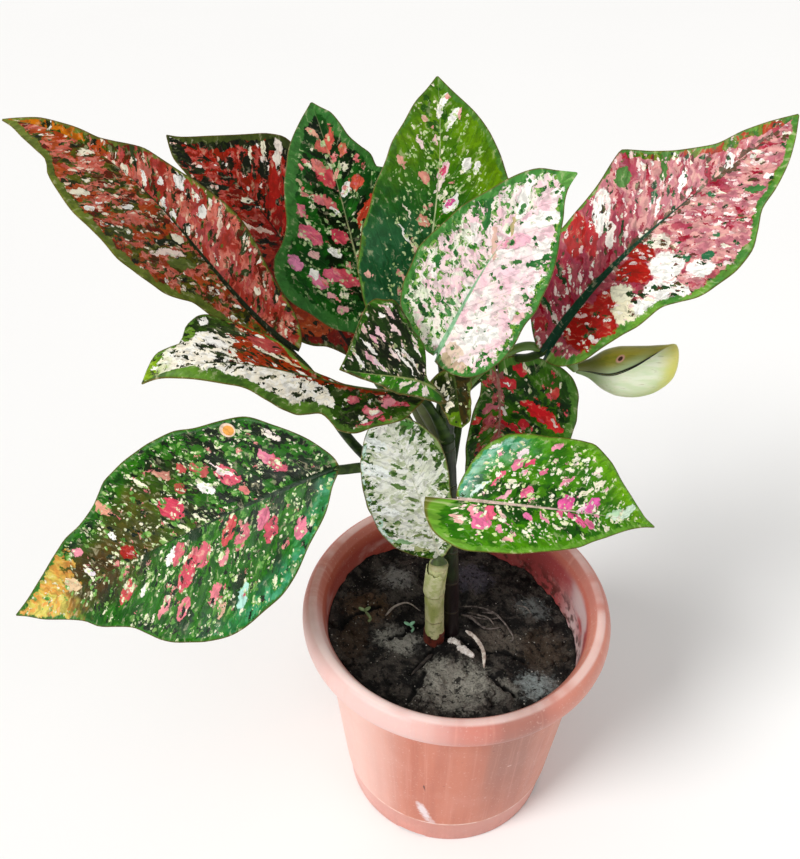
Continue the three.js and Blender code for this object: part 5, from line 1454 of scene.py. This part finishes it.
def soil_material():
    n = Nodes("black_compost")
    place = n.place()
    crack = n.parts(n.attribute("crack"))[0]
    x_here, y_here, _ = n.parts(place)
    rough_place = n.add_vectors(n.vector(x_here, y_here, 0.0), n.shake(place, 7, 9), n.shake(place, 2, 3))
    colour = n.mix(n.ramp(n.noise(place, 9, 4, 0.65), 0.42, 0.6), "12100e", "4c4640")
    ragged = n.times(n.add(n.noise(place, 2.4, 4, 0.7), -0.5), 1.8)
    for x, y, half_length, half_width, paint, strength in SOIL_PATCHES:
        away = n.add(n.away(rough_place, (x, y), (half_length, half_width)), ragged)
        colour = n.mix(n.times(n.ramp(away, 1.25, 0.5), strength * 0.8), colour, paint)
    # Painted shade: near-black spots stand for the shade in small pits
    pits = n.ramp(n.noise(place, 3.4, 4, 0.65), 0.46, 0.37)
    colour = n.mix(n.times(pits, 0.9), colour, "060504")
    fine = n.ramp(n.noise(place, 1.1, 4, 0.7), 0.5, 0.34)
    colour = n.mix(n.times(fine, 0.6), colour, "0e0c0a")
    lit = n.ramp(n.noise(place, 1.3, 4, 0.7), 0.6, 0.7)
    colour = n.mix(n.times(lit, 0.35), colour, "b4b1a6")
    # Painted shade: near-black deep in the cracks
    colour = n.mix(n.times(n.ramp(crack, 0.25, 0.7), 0.95), colour, "030202")
    grit = n.cells(place, 1.5)
    picked = n.ramp(n.parts(grit.outputs["Color"])[0], 0.94, 0.96)
    colour = n.mix(n.times(picked, n.ramp(grit.outputs["Distance"], 0.3, 0.2), 0.8), colour, "bdb8ae")
    n.bump(n.add(n.noise(place, 2.2, 5, 0.7), n.times(n.noise(place, 0.6, 3), 0.35)), 2.0, 1.0)
    return n.finish(colour, n.add(0.55, n.times(n.noise(place, 6, 2), 0.4)), Specular_IOR_Level=0.2)


def build_soil():
    bottom = FLOOR + SOIL_UNDERSIDE_GAP
    low = inner_radius(FLOOR) - SOIL_UNDERSIDE_GAP
    profile = [(0, bottom), (low - FLOOR_CORNER, bottom), (low, bottom + FLOOR_CORNER)]
    for i in range(SOIL_TOP_RINGS + 1):
        profile.append((SPUN_TOP_RADIUS * (SOIL_TOP_RINGS - i) / SOIL_TOP_RINGS, SPUN_TOP_HEIGHT))
    bm = spun(profile, SOIL_STEPS)
    for v in bm.verts:
        if v.co.z > SPUN_TOP_HEIGHT / 2 * MM:
            share = Vector((v.co.x, v.co.y)).length / (SPUN_TOP_RADIUS * MM)
            angle = math.atan2(v.co.y, v.co.x)
            edge_height = SOIL_MIDDLE_HEIGHT - SOIL_SLOPE * SOIL_EDGE_RADIUS * math.cos(angle)
            reach = inner_radius(edge_height) - SOIL_EDGE_GAP
            x, y = reach * share * math.cos(angle), reach * share * math.sin(angle)
            rise = SOIL_RISE * max(0, (share - SOIL_RISE_FROM) / SOIL_RISE_SPAN) ** 2
            v.co = to_metres((x, y, soil_surface(x, y) + rise))
    draw = random.Random(CRUMB_SEED)
    for _ in range(CRUMBS):
        angle, share = draw.uniform(0, 2 * math.pi), draw.random() ** CRUMBS_CROWDING
        x, y = CRUMBS_REACH * share * math.cos(angle), CRUMBS_REACH * share * math.sin(angle)
        size = draw.choice(CRUMB_SIZES) * draw.uniform(0.8, 1.2)
        lump = bmesh.ops.create_icosphere(bm, subdivisions=2, radius=size * MM)["verts"]
        offset = Vector((draw.uniform(0, 90), draw.uniform(0, 90), 0))
        centre = to_metres((x, y, soil_surface(x, y) + CRUMB_LIFT * size))
        for v in lump:
            uneven = noise.noise(v.co / (CRUMB_LUMP * size * MM) + offset)
            v.co = centre + v.co * (1 + CRUMB_UNEVENNESS * uneven)
            v.co.z = centre.z + (v.co.z - centre.z) * CRUMB_FLATNESS
    cracks = [crack_depth(v.co.x / MM, v.co.y / MM) for v in bm.verts]
    piece = object_from("compost", bm, soil_material())
    depth = piece.data.attributes.new("crack", "FLOAT_VECTOR", "POINT")
    depth.data.foreach_set("vector", [part for crack in cracks for part in (crack, 0, 0)])
    return dress("soil", piece)


# route: x, y and the height above the soil; colour: the two tones
LITTER = {
    "surface_root_arch": dict(
        radius=0.9, colour=("b5aaa0", "8b8078"), taper=0.75,
        route=[(-37, 8, 0.6), (-32, 13, 3), (-25, 15, 4), (-18, 12, 1)]),
    "surface_root_loop": dict(
        radius=0.8, colour=("7d736d", "4a413d"), taper=0.6,
        route=[(4, 13, 0.6), (10, 9, 2), (17, 5, 1), (27, 8, 0.6)]),
    "surface_root_side": dict(
        radius=0.7, colour=("7d736d", "4a413d"), taper=0.6,
        route=[(16, 16, 0.6), (24, 14, 2), (32, 3, 1), (30, -2, 0.6)]),
    "dry_strip_curved": dict(
        radius=1.3, colour=("d9cfc4", "a39286"), taper=0.3,
        route=[(6, 0, 0.8), (11, -4, 2.4), (15, -11, 2.6), (15, -21, 0.8)]),
    "bark_chip_pale": dict(
        radius=2.3, colour=("eae4de", "c4bab2"), taper=0.05,
        route=[(1, -11.5, 1), (5, -13, 1.5), (10, -15, 1)]),
    "dark_twig": dict(
        radius=1.1, colour=("1c1815", "3b332e"), taper=0.4,
        route=[(-12, -15, 0.8), (-17, -21, 1.4), (-23, -30, 0.8)]),
    "seedling_left": dict(
        radius=1.0, colour=("8ea070", "6c7f55"), taper=0.2,
        route=[(-46, 1, 0.5), (-45, 2, 3), (-48, 4, 5)]),
    "seedling_near_stem": dict(
        radius=0.9, colour=("8fc9a4", "7aa884"), taper=0.2,
        route=[(-23, -2, 0.5), (-22, -1, 3), (-24, 0, 5)]),
}
# Finer bits that lie with them
LOOSE_BITS = {
    "bark_chip_second": dict(
        radius=2.1, colour=("e6e0d8", "bcb2aa"), taper=0.3,
        route=[(-3.5, -6, 0.8), (-0.5, -8, 1.4), (3, -10, 0.9)]),
    "root_tangle_loop": dict(
        radius=0.55, colour=("7a716a", "403936"), taper=0.3,
        route=[(3.5, 19.5, 0.8), (12, 18.5, 3), (20, 15, 3.4), (25, 13, 1.5), (17, 11, 1), (8, 11, 2.2),
               (4, 13, 0.8)]),
    "root_tangle_front": dict(
        radius=0.6, colour=("6f6761", "3a3330"), taper=0.4,
        route=[(6, 12, 0.8), (10, 8, 2.6), (14, 5.5, 2), (21, 5, 0.8)]),
    "root_tangle_middle": dict(
        radius=0.5, colour=("857b73", "4a423d"), taper=0.4,
        route=[(8, 16, 0.6), (13, 12, 3.2), (19, 9.5, 3.6), (23, 7, 0.8)]),
    "root_hair_back": dict(
        radius=0.35, colour=("8b8178", "5a514b"), taper=0.4,
        route=[(36, 24, 0.5), (41, 22, 2), (44, 17, 0.6)]),
}


def fibre_material(name, first, second, rough=0.7, size=2.0):
    """Dry plant fibre in two tones of cloud noise, with darker flecks."""
    n = Nodes(name)
    place = n.place()
    colour = n.mix(n.ramp(n.noise(place, size, 4, 0.6), 0.38, 0.62), first, second)
    colour = n.mix(n.times(n.ramp(n.noise(place, size * 0.3, 3), 0.6, 0.75), 0.5), colour, "4a3d35")
    n.bump(n.noise(place, size * 0.4, 4), 0.3, 0.8)
    return n.finish(colour, n.add(rough, n.times(n.noise(place, 2, 2), 0.1)), Specular_IOR_Level=0.35)


def build_litter():
    """Roots, twigs, chips of bark and seedlings; LOOSE_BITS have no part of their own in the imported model."""
    for number, (name, litter) in enumerate((LITTER | LOOSE_BITS).items()):
        points = []
        for x, y, up in litter["route"]:
            ground = soil_surface(x, y) * 0.5 + soil_height(x, y) * 0.5
            points.append(Vector((x, y, ground + up)))
        route = [p * MM for p in smooth_route(points, 8)]
        bm = bmesh.new()
        draw = random.Random(number)
        chip = name.startswith("bark")
        uneven = [draw.uniform(*(CHIP_UNEVENNESS if chip else FIBRE_UNEVENNESS)) for _ in route]

        def radius_at(share):
            ends = min(1, 0.35 + 5 * share) * min(1, 0.3 + 5 * (1 - share))
            here = uneven[round(share * (len(uneven) - 1))]
            return litter["radius"] * (1 - litter["taper"] * share) * ends * here * MM

        flat = STRIP_FLATNESS if name.startswith(("dry", "bark")) else FIBRE_FLATNESS
        sweep(bm, route, radius_at, sides=CHIP_SIDES if chip else FIBRE_SIDES, squash=flat)
        if name.startswith("seedling"):
            add_seed_leaves(bm, route[-1], litter["radius"])
        fibre = fibre_material(name + "_finish", *litter["colour"])
        piece = object_from(name + "_fibre", bm, fibre, smooth=not chip)
        if name in LITTER:
            dress(name, piece)
        else:
            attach(piece, "root")


def add_seed_leaves(bm, tip, radius):
    for turn in SEED_LEAF_TURNS:
        leaf = bmesh.ops.create_uvsphere(bm, u_segments=12, v_segments=8, radius=1)["verts"]
        size = Matrix.Diagonal((*(part * radius * MM for part in SEED_LEAF_SIZE), 1))
        tilt = Matrix.Rotation(turn, 4, "Z") @ Matrix.Rotation(SEED_LEAF_TILT, 4, "Y")
        out = Matrix.Translation((SEED_LEAF_OUT * radius * MM, 0, 0))
        bmesh.ops.transform(bm, verts=leaf, matrix=Matrix.Translation(tip) @ tilt @ out @ size)


# ================================================================ stems, sheaths and bud

def stem_material(name, low, high, foot, foot_height, blotch, ring="a8976f"):
    n = Nodes(name)
    place = n.place()
    _, _, z = n.parts(place)
    stretched = n.vector(n.parts(place)[0], n.parts(place)[1], n.times(z, 0.25))
    colour = n.mix(n.ramp(n.noise(stretched, 4, 3), 0.35, 0.65), low, high)
    uneven_height = n.add(z, n.times(n.noise(place, 4, 3), 12))
    colour = n.mix(n.ramp(uneven_height, foot_height + 8, foot_height), colour, foot)
    colour = n.mix(n.times(n.ramp(n.noise(place, 2.2, 3), 0.55, 0.68), 0.5), colour, blotch)
    line = n.math("PINGPONG", n.add(z, n.times(n.noise(place, 6, 2), 3)), STEM_RING_SPACING / 2)
    colour = n.mix(n.times(n.ramp(line, 0.6, 0.2), 0.55), colour, ring)
    n.bump(n.add(n.noise(stretched, 1.2, 3), n.times(n.ramp(line, 0.8, 0.2), 1.2)), 0.4, 0.7)
    return n.finish(colour, n.add(0.38, n.times(n.noise(place, 3, 2), 0.15)), Specular_IOR_Level=0.45,
                    Subsurface_Weight=0.05, Subsurface_Scale=0.002)


def build_stem(node, name, route, radius, material, seed, knot_spacing):
    points = smooth_route(route, STEM_STEPS)
    length = sum((b - a).length for a, b in zip(points, points[1:]))
    start, loss = STEM_TAPER

    def radius_at(share):
        near_knot = abs((share * length / knot_spacing) % 1 - 0.5) * 2
        knot = STEM_KNOT_SWELL * max(0, near_knot - 0.75) / 0.25
        swell = 1 + knot + STEM_UNEVENNESS * noise.noise(Vector((share * 14, seed, 0)))
        return radius * min(swell, STEM_LARGEST_SWELL) * (start - loss * share) * MM

    bm = bmesh.new()
    sweep(bm, [p * MM for p in points], radius_at, sides=STEM_SIDES)
    return dress(node, object_from(name, bm, material))


def torn_sleeve(node, name, route, radius, start, reach, material, seed):
    """A thin dry sleeve part of the way round a stem, its far edge torn; start and reach are in radians."""
    points = smooth_route(route, SLEEVE_STEPS)
    bm = bmesh.new()
    rows = len(points) - 1
    grid = bmesh.ops.create_grid(bm, x_segments=SLEEVE_COLUMNS, y_segments=rows, size=1)["verts"]
    (depth, waves), (fine_depth, fine_waves) = SLEEVE_TEARS, SLEEVE_FINE_TEARS
    for v in grid:
        across, along = (v.co.x + 1) / 2, (v.co.y + 1) / 2
        tear = depth * noise.noise(Vector((across * waves, seed, 0)))
        tear += fine_depth * noise.noise(Vector((across * fine_waves, seed, 2)))
        where = min(1, max(0, along * (SLEEVE_LENGTH + tear))) * rows
        i = min(int(where), rows - 1)
        centre = points[i].lerp(points[i + 1], where - i)
        ahead = (points[i + 1] - points[i]).normalized()
        side = ahead.cross(Vector((0, 1, 0.2))).normalized()
        over = side.cross(ahead)
        angle = start + reach * (across - 0.5)
        lift = SLEEVE_GAP + SLEEVE_CURL * along ** 3 * noise.noise(Vector((across * 5, seed, 4)))
        out = side * math.cos(angle) + over * math.sin(angle)
        v.co = (centre + out * (radius + max(SLEEVE_LEAST_GAP, lift))) * MM
    bmesh.ops.recalc_face_normals(bm, faces=bm.faces)
    bmesh.ops.solidify(bm, geom=list(bm.faces), thickness=SLEEVE_THICKNESS * MM)
    return dress(node, object_from(name, bm, material))


BUD_AXIS = [(46, 12, 277), (60, 12, 278.5), (76, 12, 271), (89.5, 12, 283)]
BUD_RADII = [(0, 2.3), (0.12, 4.4), (0.3, 9.8), (0.45, 12), (0.6, 12.4), (0.75, 11.9), (0.88, 10.4),
             (0.97, 7.8), (1, 0.4)]
BUD_FLATNESS = 0.75
BUD_STALK_RADIUS = 2
BUD_STALK_TAPER = (1.1, 0.25)
BUD_STALK_SIDES = 14
BUD_STALK = [(46, 12, 277), (41, 12, 281), (32, 11, 287), (21, 9, 290), (8, 8, 282), (-2, 6, 270),
             (-10, 0, 256)]
# The spathe's free edge: share of the bud's length, degrees round from the far side over the top
BUD_SEAM = [(0, 182), (0.3, 168), (0.45, 152), (0.58, 136), (0.75, 112), (1, 80)]
BUD_LAP = 0.1
# Shares of a turn round the bud
BUD_LAP_FROM = 0.62
BUD_LAP_SPAN = 0.38
BUD_FULLNESS = 0.025
BUD_STEPS = 48
BUD_SIDES = 56
# The dark scar: its share and turn on the bud, each times the scale that the material gives it
BUD_SPOT_SCALE = (45, 60)
BUD_SPOT = (0.4 * BUD_SPOT_SCALE[0], 0.9 * BUD_SPOT_SCALE[1])
BUD_SPOT_SIZE = (2.1, 1.9)
BUD_SEAM_LINE = "14140a"
BUD_SCAR = "4a2014"
BUD_SCAR_EDGE = "dcb0a0"
BUD_END = "d8d060"


def bud_material():
    n = Nodes("pale_spathe")
    place = n.place()
    x, y, z = n.parts(place)
    share, turn, _ = n.parts(n.attribute("bud"))
    stretched = n.vector(n.times(x, 0.22), y, z)
    lower = n.mix(n.ramp(n.noise(stretched, 2.4, 3), 0.36, 0.64), "d5e0bf", "e4e8d2")
    lower = n.mix(n.ramp(turn, 0.12, 0.34), lower, "b4c47a")
    lower = n.mix(n.ramp(share, 0.45, 0.1), lower, "8fa278")
    upper = n.mix(n.ramp(n.noise(stretched, 2.2, 3), 0.4, 0.62), "9a9a44", "b0a84e")
    upper = n.mix(n.times(n.ramp(turn, 0.9, 0.99), n.ramp(share, 0.8, 0.5)), upper, "b4c49a")
    upper = n.mix(n.ramp(share, 0.34, 0.12), upper, "6c7038")
    colour = n.mix(n.ramp(turn, 0.6, 0.66), lower, upper)
    uneven_share = n.add(share, n.times(n.noise(place, 4, 3), 0.1))
    colour = n.mix(n.times(n.ramp(uneven_share, 0.78, 1.0), 0.75), colour, BUD_END)
    colour = n.mix(n.times(n.ramp(n.noise(stretched, 1.2, 3), 0.6, 0.72), 0.35), colour, "8a8a4c")
    seam = n.add(n.ramp(turn, 0.98, 0.997), n.ramp(turn, 0.01, 0.003))
    seam = n.times(n.ramp(seam, 0.1, 0.9), n.ramp(share, 0.86, 0.7), n.ramp(share, 0.02, 0.12))
    colour = n.mix(seam, colour, BUD_SEAM_LINE)
    scale_along, scale_round = BUD_SPOT_SCALE
    on_bud = n.vector(n.times(share, scale_along), n.times(turn, scale_round), 0.0)
    spot = n.away(on_bud, BUD_SPOT, BUD_SPOT_SIZE)
    colour = n.mix(n.ramp(spot, 1.1, 0.7), colour, BUD_SCAR_EDGE)
    colour = n.mix(n.ramp(spot, 0.6, 0.4), colour, BUD_SCAR)
    colour = n.mix(n.ramp(x, 46.5, 43), colour, "5c7a34")
    n.bump(n.noise(stretched, 1.0, 3), 0.3, 0.6)
    rough = n.add(0.26, n.times(n.noise(place, 5, 2), 0.14))
    return n.finish(n.grade(colour, 1.12, 1.08), rough, Specular_IOR_Level=0.5, Subsurface_Weight=0.1,
                    Subsurface_Scale=0.003)


def build_bud():
    """The rolled spathe, a tube whose last part of a turn laps over its first, and its bent stalk."""
    bm = bmesh.new()
    route = [bezier(BUD_AXIS, i / BUD_STEPS) for i in range(BUD_STEPS + 1)]
    first = bmesh.ops.create_circle(bm, segments=BUD_SIDES, radius=1)["verts"]
    edges = list({e for v in first for e in v.link_edges})
    order = {v: i for i, v in enumerate(first)}
    rows, marks = [first], {}
    for _ in range(BUD_STEPS):
        grown = bmesh.ops.extrude_edge_only(bm, edges=edges)["geom"]
        new = {g for g in grown if isinstance(g, bmesh.types.BMVert)}
        for v in new:
            order[v] = next(order[o] for o in (e.other_vert(v) for e in v.link_edges) if o not in new)
        ring = list(new)
        edges = list({e for v in ring for e in v.link_edges if e.other_vert(v) in new})
        rows.append(ring)
    for i, row in enumerate(rows):
        share = i / BUD_STEPS
        seam = math.radians(smooth_through(BUD_SEAM, share))
        radius = smooth_through(BUD_RADII, share)
        lap = BUD_LAP * min(1, share / 0.15) * min(1, (1 - share) / 0.1)
        for v in row:
            turn = min(order[v] / (BUD_SIDES - 1), 1)
            angle = seam + 2 * math.pi * turn
            lapped = max(0, (turn - BUD_LAP_FROM) / BUD_LAP_SPAN) ** 0.7
            reach = radius * (1 + BUD_FULLNESS - lap * lapped)
            off = Vector((0, BUD_FLATNESS * math.cos(angle), math.sin(angle))) * reach
            v.co = (route[i] + off) * MM
            marks[v] = (share, turn, 0)
    for row in (rows[0], rows[-1]):
        rim = list({e for v in row for e in v.link_edges if e.other_vert(v) in row})
        bmesh.ops.contextual_create(bm, geom=rim)
    for e in bm.edges:
        if {order.get(v) for v in e.verts} in ({0}, {BUD_SIDES - 1}):
            e.smooth = False
    stalk = [p * MM for p in smooth_route(BUD_STALK, 8)]
    start, loss = BUD_STALK_TAPER
    sweep(bm, stalk, lambda share: BUD_STALK_RADIUS * (start - loss * share) * MM, sides=BUD_STALK_SIDES)
    values = [part for v in bm.verts for part in marks.get(v, (0, 0.3, 0))]
    piece = object_from("closed_spathe", bm, bud_material())
    piece.data.attributes.new("bud", "FLOAT_VECTOR", "POINT").data.foreach_set("vector", values)
    return dress("flower_bud", piece)


def build_stems():
    # The main stem's foot is near-black purple-brown: its own tint, darkened further with painted shade near
    # the soil
    green = stem_material("main_stem_skin", low="182512", high="2a3d1c", foot="180f10", foot_height=158,
                          blotch="241a14", ring="4c4630")
    build_stem("main_stem", "cane", STEM_ROUTE, STEM_RADIUS, green, seed=3, knot_spacing=22)
    pale = stem_material("shoot_skin", low="a3ad62", high="cfcf9c", foot="5e2c22", foot_height=110,
                         blotch="76864a")
    build_stem("shoot_stem", "side_shoot", SHOOT_ROUTE, SHOOT_RADIUS, pale, seed=8, knot_spacing=60)
    brown = fibre_material("red_brown_scale", "6d2f22", "3a1a14", rough=0.45, size=3)
    torn_sleeve("shoot_scale", "brown_scale", SHOOT_SCALE_ROUTE, SHOOT_RADIUS,
                start=-math.pi / 2, reach=4.6, material=brown, seed=2)
    white = fibre_material("torn_white_sheath", "d2d2a4", "b4bc7c", rough=0.5, size=3)
    torn_sleeve("shoot_sheath", "torn_sheath", SHOOT_SHEATH_ROUTE, SHOOT_RADIUS,
                start=-0.8, reach=2.4, material=white, seed=5)
    tan = fibre_material("orange_sheath", "d08a3c", "b08a5c", rough=0.55, size=3)
    torn_sleeve("stalk_sheath", "dry_stalk_sheath", STALK_SHEATH_ROUTE, STALK_SHEATH_RADIUS,
                start=math.pi / 2, reach=3.6, material=tan, seed=9)


# ================================================================ stage

def build_stage():
    floor = bmesh.new()
    bmesh.ops.create_grid(floor, x_segments=1, y_segments=1, size=STAGE_HALF_SIZE)
    n = Nodes("pale_floor")
    tone = n.mix(n.noise(n.place(), STAGE_MOTTLING, 2), "f4f3f1", "f7f6f4")
    paper = n.finish(tone, 0.8, Specular_IOR_Level=0.2)
    object_from("pale_floor", floor, paper, smooth=False)

    world = bpy.data.worlds.new("soft_studio")
    bpy.context.scene.world = world
    world.use_nodes = True
    background = world.node_tree.nodes["Background"]
    background.inputs["Color"].default_value = (1, 1, 1, 1)
    background.inputs["Strength"].default_value = AMBIENT_STRENGTH

    sun = bpy.data.lights.new("key", "SUN")
    sun.energy = KEY_STRENGTH
    sun.angle = math.radians(KEY_SPREAD)
    aim_light("key", sun, KEY_PLACE)
    fill = bpy.data.lights.new("fill", "AREA")
    fill.size = FILL_SIZE
    fill.energy = FILL_STRENGTH
    aim_light("fill", fill, FILL_PLACE)


def aim_light(name, light, place):
    lamp = bpy.data.objects.new(name, light)
    bpy.context.scene.collection.objects.link(lamp)
    lamp.location = place
    lamp.rotation_euler = (Vector(LIGHTS_AIM) - Vector(place)).to_track_quat("-Z", "Y").to_euler()


def build_camera():
    camera = bpy.data.cameras.new("camera")
    camera.lens = CAMERA_LENS
    camera.sensor_width = CAMERA_SENSOR
    camera.clip_start = CAMERA_NEAREST
    holder = bpy.data.objects.new("camera", camera)
    bpy.context.scene.collection.objects.link(holder)
    down = Matrix.Rotation(math.radians(90 - CAMERA_DOWN), 4, "X")
    roll = Matrix.Rotation(math.radians(CAMERA_ROLL), 4, "Z")
    holder.matrix_world = Matrix.Translation(CAMERA_PLACE) @ (down @ roll)
    bpy.context.scene.camera = holder


build_camera()
build_pot()
build_soil()
build_litter()
build_stems()
build_bud()
build_leaves()
build_stage()

bpy.context.scene.view_settings.view_transform = "Standard"
